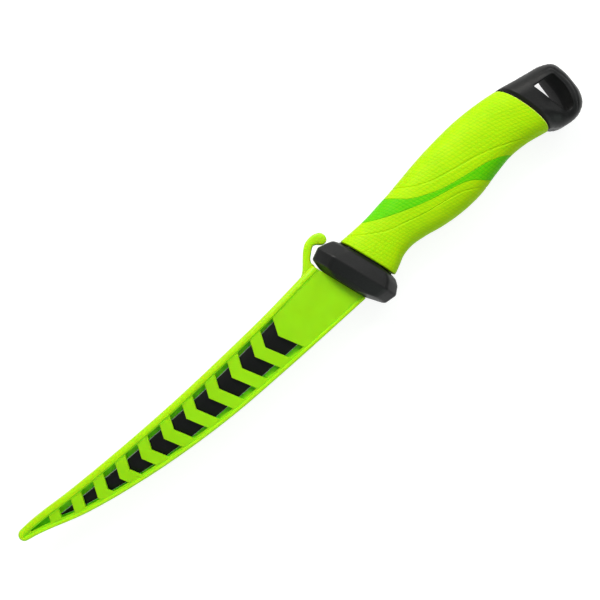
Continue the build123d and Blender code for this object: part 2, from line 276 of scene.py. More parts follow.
# A line is looked for on the skin between these places, by halving the span so many times
SEARCH_ENDS = (-30.0, 160.0)
HALVINGS = 45

# Columns on the plain runs between those profiles, and steps round the grip
RUN_COLUMNS = (72, 14, 5, 16, 84)
WAVE_COLUMNS = 18
SLEEVE_TURNS = 240
WAVE_TURNS = 300

# The net on the grip: its lines lie to either side of one that falls at this angle
NET_FALL = radians(42)
NET_SPREAD = radians(30)
NET_GIRTH = 2 * pi * 14.5

# Cap: outline round from the joint's spine end, the slot's corners and how far they are cut back,
# and roundings
CAP_MIDDLE = np.array([125.6, -1.0])
CAP_DEPTH = 25.0
CAP_ROUND = 8.5
CAP_OUTLINE = np.array([
    (101.34, 20.5), (109.5, 18.65), (116.5, 17.0), (123.5, 15.5), (129.9, 14.0), (135.2, 10.7),
    (136.75, 5.0), (136.8, -2.0), (136.0, -8.0), (133.6, -12.5), (129.5, -15.1), (123.4, -15.7),
    (118.2, -14.2), (114.6, -11.5), (109.5, -8.8),
])
SLOT_TOP = np.array([(119.5, 8.9), (130.1, 7.3), (130.9, -2.0), (127.6, -10.7), (123.6, -10.5)])
SLOT_UNDER = np.array([(119.5, 9.5), (130.0, 8.7), (129.2, -1.6), (127.0, -10.7), (123.6, -10.5)])
SLOT_CUTS = np.array([0.6, 0.9, 5.0, 2.6, 2.6])

# The moulded ring round the butt side of the slot: depth, distance from the slot, and width. The
# dish on its grip side: depth and reach. Each grows over this run of the cosine between a ray and
# the way to the butt or to the edge
RING_DEPTH = 0.35
RING_PLACE = 3.3
RING_WIDTH = 0.45
RING_FACING = (-0.25, 0.25)
DISH_DEPTH = 1.1
DISH_REACH = 5.0
DISH_FACING = (-0.9, 0.2)

# Distances from the joint over which its groove ends, and over which the painted shade in the
# groove fades out
GROOVE_RUN = (0.5, 1.9)
JOINT_SHADE_RUN = (0.3, 2.0)

# How much painted shade the slot's wall has up to this share of its height; above it has 1
SLOT_SHADE = 0.8
SLOT_SHADE_SHARE = 0.4

# Rays from the slot's middle that end at the joint and at the outline, steps of a face and of the
# slot's lip along each, and steps of a rounded corner of the slot
JOINT_RAYS = 90
OUTLINE_RAYS = 170
FACE_STEPS = 18
LIP_STEPS = 6
SLOT_CORNER_STEPS = 12

# Points on the way down the cap's side, and up the slot's wall, as shares of it
SIDE_SHARES = np.array([0.17, 0.33, 0.5, 0.67, 0.83])
SLOT_SHARES = np.array([0.17, 0.3, 0.39, 0.44, 0.67, 0.83])

# Points on the cap's outline, steps between two points of a ring, and angles that are tried for
# the joint's ends. A ray meets the bowed joint after so many repeats, at heights between these, and
# far off where it turns away
OUTLINE_POINTS = 500
RING_STEPS = 20
ANGLES_TRIED = 7201
BOW_REPEATS = 6
BOW_HEIGHTS = (-20, 25)
LEAST_FACING = 0.02
FAR_OFF = 1e3

# Latch: points on its outer line and on its inner line, in pairs, root to bead
LATCH_OUTER = np.array([
    (-23.5, 14.2), (-20.9, 15.5), (-18.6, 17.0), (-16.5, 19.1), (-14.4, 21.4), (-11.7, 24.1),
    (-8.8, 26.1), (-6.0, 26.78), (-3.4, 26.78), (-1.2, 26.05), (0.4, 24.8), (1.0, 23.0),
    (0.7, 21.3), (-0.1, 20.2), (-1.2, 19.8),
])
LATCH_INNER = np.array([
    (-16.0, 12.0), (-13.2, 13.4), (-12.4, 15.4), (-12.6, 17.1), (-11.7, 18.8), (-9.75, 20.5),
    (-8.0, 21.9), (-6.6, 22.55), (-5.3, 22.1), (-4.5, 21.4), (-3.9, 20.8), (-3.3, 20.3),
    (-2.6, 19.95), (-2.0, 19.8), (-1.6, 19.78),
])

# Half of its depth, and the width from which it is that deep. How square its sections are, the way
# that every pair adds, so that none fall together, and how many sections and steps round it
LATCH_HALF_DEPTH = 2.0
LATCH_FULL_WIDTH = 1.1
LATCH_SQUARENESS = 0.45
LATCH_PAIR_GAP = 0.2
LATCH_SECTIONS = 70
LATCH_TURNS = 28

# Stage, in metres: what the camera looks at, and each lamp's name, the setting that holds its
# power, its size, place and colour
AIM = (-28.5 * MM, 7.6 * MM)
VIEW_TURN = radians(-42)
NEAREST_SEEN = 0.01
FLOOR_REACH = 3.0
LAMPS = (
    ("key_light", "key_power", 0.4, (0.16, 0.57, 0.52), (1.0, 0.98, 0.93)),
    ("fill_light", "fill_power", 0.6, (-0.35, -0.55, 0.45), (0.86, 1.0, 0.92)),
    ("butt_light", "butt_power", 0.8, (0.82, 0.32, 1.07), (1.0, 1.0, 1.0)),
)
SKY_COLOUR = (0.93, 1, 0.93, 1)

# The white sweep: its colour in the light on the knife, and its colour and glow to the eye
SWEEP_GREY = (0.55, 0.55, 0.55, 1)
SWEEP_DIM_GREY = (0.3, 0.3, 0.3, 1)
SWEEP_GLOW = 0.84


# Colours and materials

def linear(text):
    """Linear RGBA of an sRGB hex colour."""
    parts = np.array([int(text[i : i + 2], 16) for i in (1, 3, 5)]) / 255
    low = parts / 12.92
    high = ((parts + 0.055) / 1.055) ** 2.4
    return (*np.where(parts <= 0.04045, low, high).tolist(), 1.0)


# What is usual for a kind of node: its settings, what its sockets hold, and the output in use
USUAL = {
    "TexNoise": ({}, {"Detail": 3, "Roughness": 0.55}, 0),
    "MapRange": ({"interpolation_type": "SMOOTHSTEP"}, {}, 0),
    "Mix": ({"data_type": "RGBA"}, {}, 2),
    "Bump": ({}, {"Strength": 1}, 0),
}


def add_node(tree, kind, inputs=None, output=None, **settings):
    """Adds the shader node of a kind and gives back one of its outputs. inputs holds a value for
    each socket, or the output that feeds it. What isn't given is as usual for the kind."""
    usual_settings, usual_inputs, usual_output = USUAL.get(kind, ({}, {}, 0))
    made = tree.nodes.new("ShaderNode" + kind)
    for name, value in {**usual_settings, **settings}.items():
        setattr(made, name, value)
    for key, value in {**usual_inputs, **(inputs or {})}.items():
        if isinstance(value, bpy.types.NodeSocket):
            tree.links.new(value, made.inputs[key])
        else:
            made.inputs[key].default_value = value
    return made.outputs[usual_output if output is None else output] if made.outputs else None


def emptied(owner):
    """Clears the nodes of a material or a world, and gives back the call that adds one to it."""
    owner.use_nodes = True
    owner.node_tree.nodes.clear()
    return partial(add_node, owner.node_tree)


def make_material(recipe, *paints, name=None):
    """Makes a material. Its recipe is given the call that adds a node, a position in millimetres
    and the paints, adds its own nodes, and gives back what the shader's sockets hold."""
    material = bpy.data.materials.new(name or recipe.__name__)
    add = emptied(material)
    where = add("TexCoord", output="Object")
    where = add("VectorMath", {0: where, "Scale": 1 / MM}, operation="SCALE")
    shader = add("BsdfPrincipled", recipe(add, where, *paints))
    add("OutputMaterial", {"Surface": shader})
    return material


# The recipes. A noise's Scale is one over the size of its blobs in millimetres, a Map Range spreads
# the range 1 to 2 smoothly over 3 to 4, and a Mix gives 6 where its factor is 0 and 7 where it is 1

def moulded_polypropylene(add, where, colours):
    """Polypropylene, injection moulded in a polished mould: a waxy gloss over a faint orange peel,
    slightly uneven where it was handled, with a few fine scuffs. Its colour holds painted light:
    the rims are paler, and the inside walls have a bright painted glow."""
    # Glow mark: 0 gives the inside's painted glow, 0.5 the panel, 1 the rims' painted light
    glow = add("Attribute", output="Fac", attribute_name="glow")
    low = add("MapRange", {0: glow, 2: 0.5})
    high = add("MapRange", {0: glow, 1: 0.5})
    walls = add("Mix", {0: low, 6: colours.sheath_deep, 7: colours.sheath})
    edges = add("Mix", {0: high, 6: walls, 7: colours.sheath_rim})
    flow = add("TexNoise", {0: where, "Scale": 1 / 14, "Detail": 2})
    swirl = add("MapRange", {0: flow, 1: 0.3, 2: 0.7, 4: 0.12})
    colour = add("Mix", {0: swirl, 6: edges, 7: colours.sheath_deep})
    touch = add("TexNoise", {0: where, "Scale": 1 / 5, "Detail": 4})
    handled = add("MapRange", {0: touch, 1: 0.3, 2: 0.7, 3: 0.30, 4: 0.40})
    drawn = add("Mapping", {0: where, "Rotation": (0, 0, radians(-8)), "Scale": (0.04, 1.6, 1.6)})
    streaks = add("TexNoise", {0: drawn, "Scale": 1, "Detail": 4, "Roughness": 0.6})
    scuffs = add("MapRange", {0: streaks, 1: 0.62, 2: 0.72})
    dulled = add("Math", {0: scuffs, 1: 0.12}, operation="MULTIPLY")
    roughness = add("Math", {0: handled, 1: dulled}, operation="ADD")
    peel = add("TexNoise", {0: where, "Scale": 1 / 1.1, "Detail": 2})
    waxy = add("Bump", {"Height": peel, "Distance": 0.035 * MM})
    unscuffed = add("Math", {0: 1, 1: scuffs}, operation="SUBTRACT")
    normal = add("Bump", {"Height": unscuffed, "Distance": 0.01 * MM, "Normal": waxy})
    return {
        "Base Color": colour, "Roughness": roughness, "Normal": normal, "IOR": 1.49,
        "Specular IOR Level": 0.25, "Subsurface Weight": 0.7, "Subsurface Radius": (0.5, 1.0, 0.1),
        "Subsurface Scale": 3.5 * MM,
    }


def soft_touch_rubber(add, where, light, deep, edge_highlight):
    """Thermoplastic rubber, moulded over the core: matt and slightly velvety, with a net of fine
    raised diamonds that catches the light along one of its two directions, painted shade between
    the diamonds and tone in cloudy patches, and a pale painted highlight along its thin edge where
    it ends at the cap."""
    cells = add("UVMap", uv_map="net")
    sides = []
    for axis in ("X", "Y"):
        line = add("SeparateXYZ", {0: cells}, axis)
        from_line = add("Math", {0: line, 1: 0.5}, operation="PINGPONG")
        sides.append(add("MapRange", {0: from_line, 2: 0.3}))
    diamonds = add("Math", {0: sides[0], 1: sides[1]}, operation="MULTIPLY")
    patch = add("TexNoise", {0: where, "Scale": 1 / 9})
    cloudy = add("MapRange", {0: patch, 1: 0.3, 2: 0.75, 4: 0.35})
    body = add("Mix", {0: cloudy, 6: light, 7: deep})
    # Painted shade in the net's recesses: the deeper colour fills between the diamonds
    raised = add("MapRange", {0: diamonds, 2: 0.5, 3: 0.3})
    netted = add("Mix", {0: raised, 6: deep, 7: body})
    # Painted highlight along the grip's thin edge at the cap
    edge = add("Attribute", output="Fac", attribute_name="edge")
    pale = add("MapRange", {0: edge, 1: 0.3, 4: 0.75})
    colour = add("Mix", {0: pale, 6: netted, 7: edge_highlight})
    touch = add("TexNoise", {0: where, "Scale": 1 / 3})
    roughness = add("MapRange", {0: touch, 1: 0.3, 2: 0.7, 3: 0.50, 4: 0.62})
    worn = add("MapRange", {0: patch, 1: 0.3, 2: 0.7, 3: 0.5, 4: 1.3})
    height = add("Math", {0: diamonds, 1: worn}, operation="MULTIPLY")
    net = add("Bump", {"Height": height, "Distance": 0.085 * MM})
    nap = add("TexNoise", {0: where, "Scale": 1 / 0.35, "Detail": 2})
    normal = add("Bump", {"Height": nap, "Distance": 0.03 * MM, "Normal": net})
    return {
        "Base Color": colour, "Roughness": roughness, "Normal": normal, "IOR": 1.47,
        "Specular IOR Level": 0.1, "Subsurface Weight": 0.35, "Subsurface Radius": (0.5, 1.0, 0.1),
        "Subsurface Scale": 1.2 * MM,
    }


def grained_black_nylon(add, where, colours):
    """Glass-filled nylon, moulded in a spark-eroded mould: a fine even grain that breaks the
    highlights into sparkle, rubbed a little smoother in patches, and with painted shade in the slot
    and the joint, where it is near black and matt."""
    # The real grain is about 0.15 mm; it is drawn at 0.4 mm so that it shows
    grain = add("TexNoise", {0: where, "Scale": 1 / 0.4, "Detail": 3, "Roughness": 0.6})
    tops = add("MapRange", {0: grain, 1: 0.35, 2: 0.7})
    lit = add("Mix", {0: tops, 6: colours.black, 7: colours.black_light})
    # The deep mark holds painted shade: the slot and the joint's groove are painted near black
    deep = add("Attribute", output="Fac", attribute_name="deep")
    colour = add("Mix", {0: deep, 6: lit, 7: colours.black_deep})
    patch = add("TexNoise", {0: where, "Scale": 1 / 6})
    rubbed = add("MapRange", {0: patch, 1: 0.3, 2: 0.7, 3: 0.40, 4: 0.50})
    rough_where_shaded = add("Math", {0: deep, 1: 0.85}, operation="MULTIPLY")
    roughness = add("Math", {0: rubbed, 1: rough_where_shaded}, operation="MAXIMUM")
    normal = add("Bump", {"Height": grain, "Distance": 0.05 * MM})
    return {
        "Base Color": colour, "Roughness": roughness, "Normal": normal, "IOR": 1.53,
        "Specular IOR Level": 0.27,
    }


def coated_stainless_steel(add, where, colours):
    """Stainless steel with a black non-stick coating: dark satin with a faint grinding direction,
    a patchy painted highlight along the spine's soft corners, and bare bright steel along the
    sharpened edge."""
    bare = add("Attribute", output="Fac", attribute_name="ground")
    ground = add("MapRange", {0: bare, 1: 0.8, 2: 0.9})
    speckle = add("TexNoise", {0: where, "Scale": 1 / 0.35})
    tops = add("MapRange", {0: speckle, 1: 0.35, 2: 0.65})
    whole = add("Mix", {0: tops, 6: colours.coating, 7: colours.coating_light})
    # The worn mark holds a painted highlight: the spine's corners are painted pale, patchy by noise
    near_spine = add("Attribute", output="Fac", attribute_name="worn")
    uneven = add("MapRange", {0: speckle, 1: 0.2, 2: 0.6, 3: 0.7, 4: 1.1})
    spine_highlight = add("Math", {0: near_spine, 1: uneven}, operation="MULTIPLY")
    worn = add("MapRange", {0: spine_highlight, 1: 0.3, 2: 0.9})
    coat = add("Mix", {0: worn, 6: whole, 7: colours.coating_worn})
    colour = add("Mix", {0: ground, 6: coat, 7: colours.steel})
    drawn = add("Mapping", {0: where, "Scale": (3.0, 0.12, 3.0)})
    lines = add("TexNoise", {0: drawn, "Scale": 1 / 0.5})
    roughness = add("MapRange", {0: lines, 1: 0.3, 2: 0.7, 3: 0.34, 4: 0.46})
    grinding = add("Bump", {"Height": lines, "Distance": 0.02 * MM})
    normal = add("Bump", {"Height": speckle, "Distance": 0.02 * MM, "Normal": grinding})
    return {
        "Base Color": colour, "Roughness": roughness, "Normal": normal, "Metallic": ground,
        "Specular IOR Level": 0.22,
    }


def turned_stainless_steel(add, where, colours):
    """Stainless rod, cut and pressed in: bright, with fine rings left by the tool."""
    rings = add("TexNoise", {0: where, "Scale": 1 / 0.3, "Detail": 2})
    colour = add("Mix", {0: rings, 6: colours.steel, 7: colours.steel_dark})
    roughness = add("MapRange", {0: rings, 1: 0.3, 2: 0.7, 3: 0.22, 4: 0.36})
    normal = add("Bump", {"Height": rings, "Distance": 0.02 * MM})
    return {
        "Base Color": colour, "Roughness": roughness, "Normal": normal, "Metallic": 1,
    }


def moulded_core_nylon(add, where, colours):
    """Glass-filled nylon core, natural black and matt from its short fibres."""
    fibres = add("TexNoise", {0: where, "Scale": 1 / 0.5})
    colour = add("Mix", {0: fibres, 6: colours.black, 7: colours.black_light})
    roughness = add("MapRange", {0: fibres, 1: 0.3, 2: 0.7, 3: 0.55, 4: 0.7})
    normal = add("Bump", {"Height": fibres, "Distance": 0.05 * MM})
    return {
        "Base Color": colour, "Roughness": roughness, "Normal": normal, "IOR": 1.53,
    }


# Mesh making

def smooth(stations, values, at):
    """Values at places between stations: a cubic through each pair of rows, whose slope at a row is
    the slope of its neighbours, run on straight past the ends."""
    stations, values, at = (np.asarray(a, float) for a in (stations, values, at))
    slopes = np.gradient(values, stations, axis=0)
    inside = np.clip(at, stations[0], stations[-1])
    left = np.clip(np.searchsorted(stations, inside, side="right") - 1, 0, len(stations) - 2)
    shape = at.shape + (1,) * (values.ndim - 1)
    width = (stations[left + 1] - stations[left]).reshape(shape)
    t = (inside - stations[left]).reshape(shape) / width
    beyond = (at - inside).reshape(shape)
    curve = values[left] * (2 * t**3 - 3 * t**2 + 1) + values[left + 1] * (3 * t**2 - 2 * t**3)
    curve += width * (slopes[left] * (t**3 - 2 * t**2 + t) + slopes[left + 1] * (t**3 - t**2))
    return curve + beyond * np.where(beyond > 0, slopes[-1], slopes[0])


def run_length(points):
    """Length of a line of straight pieces up to each of its points."""
    return np.concatenate([[0], np.cumsum(np.linalg.norm(np.diff(points, axis=0), axis=1))])


def step(low, high, at):
    """Smooth step from 0 at low to 1 at high."""
    t = np.clip((at - low) / (high - low), 0, 1)
    return t * t * (3 - 2 * t)


def grid_quads(rows, columns, around=False):
    """Point numbers of the quads of a rows by columns grid, closed over its columns if around."""
    index = np.arange(rows * columns).reshape(rows, columns)
    if around:
        index = np.concatenate([index, index[:, :1]], axis=1)
    return np.stack([index[:-1, :-1], index[1:, :-1], index[1:, 1:], index[:-1, 1:]], axis=-1)


def weld(points, quads):
    """Gives points that share a place, to a micron, one number."""
    places = np.round(points, 3)
    _, first, number = np.unique(places, axis=0, return_index=True, return_inverse=True)
    return points[first], number.reshape(-1)[quads]


def wall(outer, inner, quads, mark):
    """A closed wall between two skins of the same layout: the quads on the outer skin, the same
    turned over on the inner skin, and a side along every edge that only one quad has. The mark of
    the outer skin's points is 0 on the inner skin."""
    both, quads = weld(np.concatenate([outer, inner, mark[:, None]], axis=1), quads)
    count = len(both)
    edges = np.concatenate([quads[:, [i, (i + 1) % 4]] for i in range(4)])
    edges = edges[edges[:, 0] != edges[:, 1]]
    lone = edges[~np.isin(edges[:, 0] * count + edges[:, 1], edges[:, 1] * count + edges[:, 0])]
    sides = np.stack([lone[:, 1], lone[:, 0], lone[:, 0] + count, lone[:, 1] + count], axis=-1)
    points = np.concatenate([both[:, :3], both[:, 3:6]])
    marks = np.concatenate([both[:, 6], 0 * both[:, 6]])
    return points, np.concatenate([quads, quads[:, ::-1] + count, sides]), marks


def add_piece(name, shape, material, body, replaced):
    """Makes the mesh of a shape: turns it outwards, welds it, drops sides that have vanished, and
    lets it ride. The mark called net becomes a UV map, the others attributes."""
    points, quads, marks = shape
    points, quads = points.reshape(-1, 3), quads.reshape(-1, 4)
    a, b, c, d = (points[quads[:, i]] for i in range(4))
    volume = np.sum(a * np.cross(b, c)) + np.sum(a * np.cross(c, d))
    if volume < 0:
        quads = quads[:, ::-1]
    welded, numbers = weld(points, quads)
    kept = numbers != np.roll(numbers, -1, axis=1)
    crossed = (numbers[:, 0] == numbers[:, 2]) | (numbers[:, 1] == numbers[:, 3])
    whole = (kept.sum(axis=1) > 2) & ~crossed
    numbers, kept, quads = numbers[whole], kept[whole], quads[whole]
    loops, corners = numbers[kept], quads[kept]
    starts = np.concatenate([[0], np.cumsum(kept.sum(axis=1))[:-1]])
    mesh = bpy.data.meshes.new(name)
    mesh.vertices.add(len(welded))
    mesh.vertices.foreach_set("co", (welded * MM).astype(np.float32).ravel())
    mesh.loops.add(len(loops))
    mesh.loops.foreach_set("vertex_index", loops.astype(np.int32))
    mesh.polygons.add(len(starts))
    mesh.polygons.foreach_set("loop_start", starts.astype(np.int32))
    mesh.update(calc_edges=True)
    for mark, values in marks.items():
        if mark == "net":
            at_corners = values.reshape(-1, 2)[corners].astype(np.float32)
            mesh.uv_layers.new(name=mark).uv.foreach_set("vector", at_corners.ravel())
        else:
            at_points = np.zeros(len(welded), np.float32)
            at_points[loops] = values.reshape(-1)[corners]
            mesh.attributes.new(mark, "FLOAT", "POINT").data.foreach_set("value", at_points)
    if mesh.validate():
        raise RuntimeError(f"{name} has faces that don't hold")
    mesh.shade_smooth()
    mesh.set_sharp_from_angle(angle=SHARP_ANGLE)
    mesh.materials.append(material)
    made = bpy.data.objects.new(name, mesh)
    bpy.context.scene.collection.objects.link(made)
    if body:
        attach(made, body)
    if replaced:
        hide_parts(*replaced)
    return made


def rounded_ring(corners, cuts, steps):
    """A closed ring round polygon corners (..., n, 2), each cut back by its length on both sides
    and joined by the parabola that those two points and the corner draw."""
    before = np.roll(corners, 1, axis=-2) - corners
    after = np.roll(corners, -1, axis=-2) - corners
    lengths = [np.maximum(np.linalg.norm(side, axis=-1), TINY) for side in (before, after)]
    cut = np.minimum(cuts, MOST_CUT_SHARE * np.minimum(*lengths))[..., None]
    start = corners + before / lengths[0][..., None] * cut
    end = corners + after / lengths[1][..., None] * cut
    t = np.linspace(0, 1, steps)[:, None]
    start, middle, end = (a[..., None, :] for a in (start, corners, end))
    ring = start * (1 - t) ** 2 + middle * 2 * t * (1 - t) + end * t**2
    return ring.reshape(*corners.shape[:-2], -1, 2)


def closed_ends(rings):
    """The rings with one more at each end, shrunk to the end ring's middle."""
    first, last = (np.broadcast_to(rings[i].mean(axis=0), rings[:1].shape) for i in (0, -1))
    return np.concatenate([first, rings, last])


# Blade

def blade_shape():
    """Sections square to the blade's length. Each runs from the thin edge up the bevel, up the flat
    grind to where the taper starts, up the flank and round the spine's two soft corners, and back.
    Heights and thickness are smooth curves of the place along the blade."""
    place = np.concatenate([np.linspace(*run) for run in BLADE_RUNS])
    spine, edge, thick = smooth(BLADE_SHARES[:, 0], BLADE_SHARES[:, 1:], place).T
    top, bottom = spine * BLADE_HEIGHT, edge * BLADE_HEIGHT
    half = thick * BLADE_THICKNESS / 2
    bevel = np.minimum(EDGE_BEVEL, (top - bottom) / 3)
    soft = np.minimum(SPINE_ROUND, (top - bottom) / 4)
    taper = top - TAPER_SHARE * (top - bottom)
    corner = soft * (1 - cos(pi / 4))
    thin = np.full_like(top, EDGE_THICKNESS / 2)
    over_bevel = thick * EDGE_BEVEL_THICKNESS / 2
    heights = np.stack([bottom, bottom + bevel, taper, top - soft, top - corner, top], axis=-1)
    depths = np.stack([thin, over_bevel, half, half, half - corner, half - soft], axis=-1)
    y = np.concatenate([heights, heights[:, ::-1]], axis=1)
    z = np.concatenate([depths, -depths[:, ::-1]], axis=1) + MIDDLE
    x = np.broadcast_to(-place[:, None] * BLADE_REACH, y.shape)
    points = closed_ends(np.stack([x, y, z], axis=-1))
    ground, worn = np.zeros((2, *points.shape[:2]))
    at_edge, at_spine = [0, -1], slice(4, 8)
    # Worn marks the spine's soft corners for a painted highlight
    ground[:, at_edge] = worn[:, at_spine] = 1
    quads = grid_quads(*points.shape[:2], around=True)
    return points, quads, {"ground": ground, "worn": worn}


# Guard

def guard_shape():
    """Octagons with rounded corners, carried front to back. Reach, half depth and chamfers are
    straight between the rows of the table, averaged over a short run so that every ridge is
    rounded, and shrink to nothing on the two end faces."""
    sizes = GUARD_SHARES * (GUARD_THICKNESS, GUARD_HEIGHT, GUARD_HEIGHT, GUARD_DEPTH)
    on_collar = GUARD_SHARES[:, :1] > COLLAR_PLACE_SHARE
    scale = np.where(on_collar, COLLAR_CHAMFER_SCALE, 1)
    rows = np.hstack([sizes, GUARD_CHAMFERS * scale])
    ends = rows[[0, -1]] * (np.arange(rows.shape[1]) == 0)
    rows = np.vstack([ends[:1], rows, ends[1:]])
    reach = run_length(rows[:, [0, 1, 3]])
    beside = np.linspace(-RIDGE_NEAR * GUARD_RIDGE, RIDGE_NEAR * GUARD_RIDGE, RIDGE_SECTIONS)
    near = np.concatenate([beside + ridge for ridge in reach[1:-1]])
    places = np.concatenate([near, np.linspace(0, reach[-1], GUARD_SECTIONS)])
    places = np.unique(np.clip(places, 0, reach[-1]))
    spots = places[:, None] + np.linspace(-GUARD_RIDGE, GUARD_RIDGE, RIDGE_SPOTS)
    spots = np.clip(spots, 0, reach[-1])
    sizes = [np.interp(spots, reach, column).mean(axis=1) for column in rows.T]
    for size in sizes[1:]:
        size[[0, -1]] = 0
    along, spine, edge, half, spine_chamfer, edge_chamfer, chamfer_deep = sizes
    level = half - chamfer_deep
    ups = np.stack([spine, spine - spine_chamfer, edge_chamfer - edge, -edge], axis=-1)
    outs = np.stack([level, half, half, level], axis=-1)
    corners = np.stack([
        np.concatenate([ups, ups[:, ::-1]], axis=1), np.concatenate([outs, -outs[:, ::-1]], axis=1),
    ], axis=-1)
    up, out = np.moveaxis(rounded_ring(corners, GUARD_CORNER, GUARD_CORNER_STEPS), -1, 0)
    x = along[:, None] * cos(TILT) - up * sin(TILT)
    y = along[:, None] * sin(TILT) + up * cos(TILT)
    points = np.stack([x, y, MIDDLE + out], axis=-1)
    return points, grid_quads(*points.shape[:2], around=True), {}


# Grip

def grip_skin(x, turn):
    """Height and depth of the grip's skin at x and a turn round it from the spine: an ellipse with
    a little third harmonic that fills its corners, on smooth curves of its height and depth."""
    sizes = smooth(GRIP_SHARES[:, 0] * GRIP_REACH, GRIP_SHARES[:, 1:], x)
    spine, edge, deep = np.moveaxis(sizes, -1, 0)
    main = (1 + GRIP_CORNER_SHARE * 2**0.5) / 2
    fill = main - 1
    high = main * np.cos(turn) - fill * np.cos(3 * turn)
    wide = main * np.sin(turn) + fill * np.sin(3 * turn)
    y = (spine + edge) / 2 * GRIP_HEIGHT + high * (spine - edge) / 2 * GRIP_HEIGHT
    return y, wide * deep * GRIP_DEPTH


def grip_meets(turn, line):
    """Where, at each turn, the skin crosses a line that gives x for a height, found by halving."""
    low, high = (np.full_like(turn, end) for end in SEARCH_ENDS)
    for _ in range(HALVINGS):
        middle = (low + high) / 2
        past = middle > line(grip_skin(middle, turn)[0])
        low, high = np.where(past, low, middle), np.where(past, middle, high)
    return low


def joint_bow(y):
    """How far the joint with the cap bows towards the guard at a height: nothing at its middle, and
    growing with the square of the distance from it."""
    return JOINT_BOW * ((y - JOINT_BOW_MIDDLE) / JOINT_BOW_REACH) ** 2


def crossing(points):
    """The x of a line across the grip for a height, from its points, spine to edge."""
    return lambda y: smooth(-points[:, 1], points[:, 0], -y)


def square_reach(turn, x):
    """How far along x one millimetre square to a line on the skin reaches."""
    y, z = grip_skin(x, turn)
    dx, dy, dz = (np.roll(a, -1) - np.roll(a, 1) for a in (x, y, z))
    across = np.hypot(dy, dz)
    return np.minimum(np.hypot(dx, across) / across, MOST_REACH)


def grip_points(x, turn, depth):
    """Points at x and turn, sunk by depth along the skin's own normal."""
    small = 0.05
    y, z = grip_skin(x, turn)
    here = np.stack([x, y, z], axis=-1)
    onward = np.stack([x + small, *grip_skin(x + small, turn)], axis=-1) - here
    round_it = np.stack([x, *grip_skin(x, turn + small / 10)], axis=-1) - here
    normal = np.cross(round_it, onward)
    normal /= np.linalg.norm(normal, axis=-1, keepdims=True)
    outward = np.sign(np.sum(normal * np.stack([0 * x, y - y.mean(), z], axis=-1)))
    return here - outward * normal * depth[..., None] + TO_MIDDLE


def grip_bounds(turn):
    """x at each turn of the guard's back, the lines across the grip and the cap's joint."""
    guard_back = grip_meets(turn, lambda y: (GUARD_BACK - y * sin(TILT)) / cos(TILT))
    at_x, at_y = JOINT_POINT
    joint = grip_meets(turn, lambda y: at_x - (y - at_y) * tan(JOINT_TILT) - joint_bow(y))
    lines = [grip_meets(turn, crossing(points)) for points in GRIP_LINES]
    lines[0] = np.maximum(lines[0], guard_back + LEAST_LAND)
    lines[3] = np.minimum(lines[3], joint - LEAST_LAND)
    return guard_back, lines, joint


def net_place(x, settings):
    """Coordinates that count the two families of lines of the net. Both are straight lines on the
    unrolled grip, to either side of the net's fall, and a whole number of each meets itself round
    the grip."""
    pitch = settings.net_pitch / MM
    turn = np.linspace(0, 1, len(x))[:, None]
    lines = []
    for lean in (NET_FALL - NET_SPREAD, NET_FALL + NET_SPREAD):
        lines.append(round(NET_GIRTH * cos(lean) / pitch) * turn - x * sin(lean) / pitch)
    return np.stack(lines, axis=-1)


def grip_shape(settings):
    """The sleeve. Round each turn of the skin the columns follow the lines that cross the grip: two
    engraved lines, and the bed that the wave lies in, sunk below the skin between its banks."""
    turn = np.linspace(0, 2 * pi, SLEEVE_TURNS, endpoint=False)
    guard_back, lines, joint = grip_bounds(turn)
    reaches = [square_reach(turn, x) for x in lines]
    engraved, line_depth = (ENGRAVED * (settings.line_width / MM, settings.line_depth / MM)).T
    bank, bank_depth = BANK.T
    mouth, mouth_depth = SLEEVE_MOUTH.T
    profiles = (engraved, bank, -bank[::-1], engraved)
    blocks = [a[:, None] + b[:, None] * c for a, b, c in zip(lines, reaches, profiles)]
    first, last = guard_back[:, None] + mouth, joint[:, None] - mouth[::-1]
    steps = LEAST_STEP * np.arange(1, len(engraved) + 1)
    blocks[0] = np.maximum(blocks[0], first[:, -1:] + steps)
    blocks[3] = np.minimum(blocks[3], last[:, :1] - steps[::-1])
    x, depth = first, mouth_depth
    ends = (line_depth, bank_depth, bank_depth[::-1], line_depth, mouth_depth[::-1])
    for count, block, block_depth in zip(RUN_COLUMNS, [*blocks, last], ends):
        share = np.linspace(0, 1, count + 2)[1:-1]
        span = x[:, -1:] + (block[:, :1] - x[:, -1:]) * share
        x = np.concatenate([x, span, block], axis=1)
        depth = np.concatenate([depth, np.full(count, depth[-1]), block_depth])
    points = grip_points(x, turn[:, None], depth)
    points = closed_ends(points.swapaxes(0, 1)).swapaxes(0, 1)
    points = np.concatenate([points, points[:1]])
    # The edge mark picks the grip's last rounding at the cap for a painted highlight
    edge = np.zeros(points.shape[:2])
    edge[:, -4:-2] = 1
    marks = {"net": net_place(points[..., 0], settings), "edge": edge}
    return points, grid_quads(*points.shape[:2]), marks


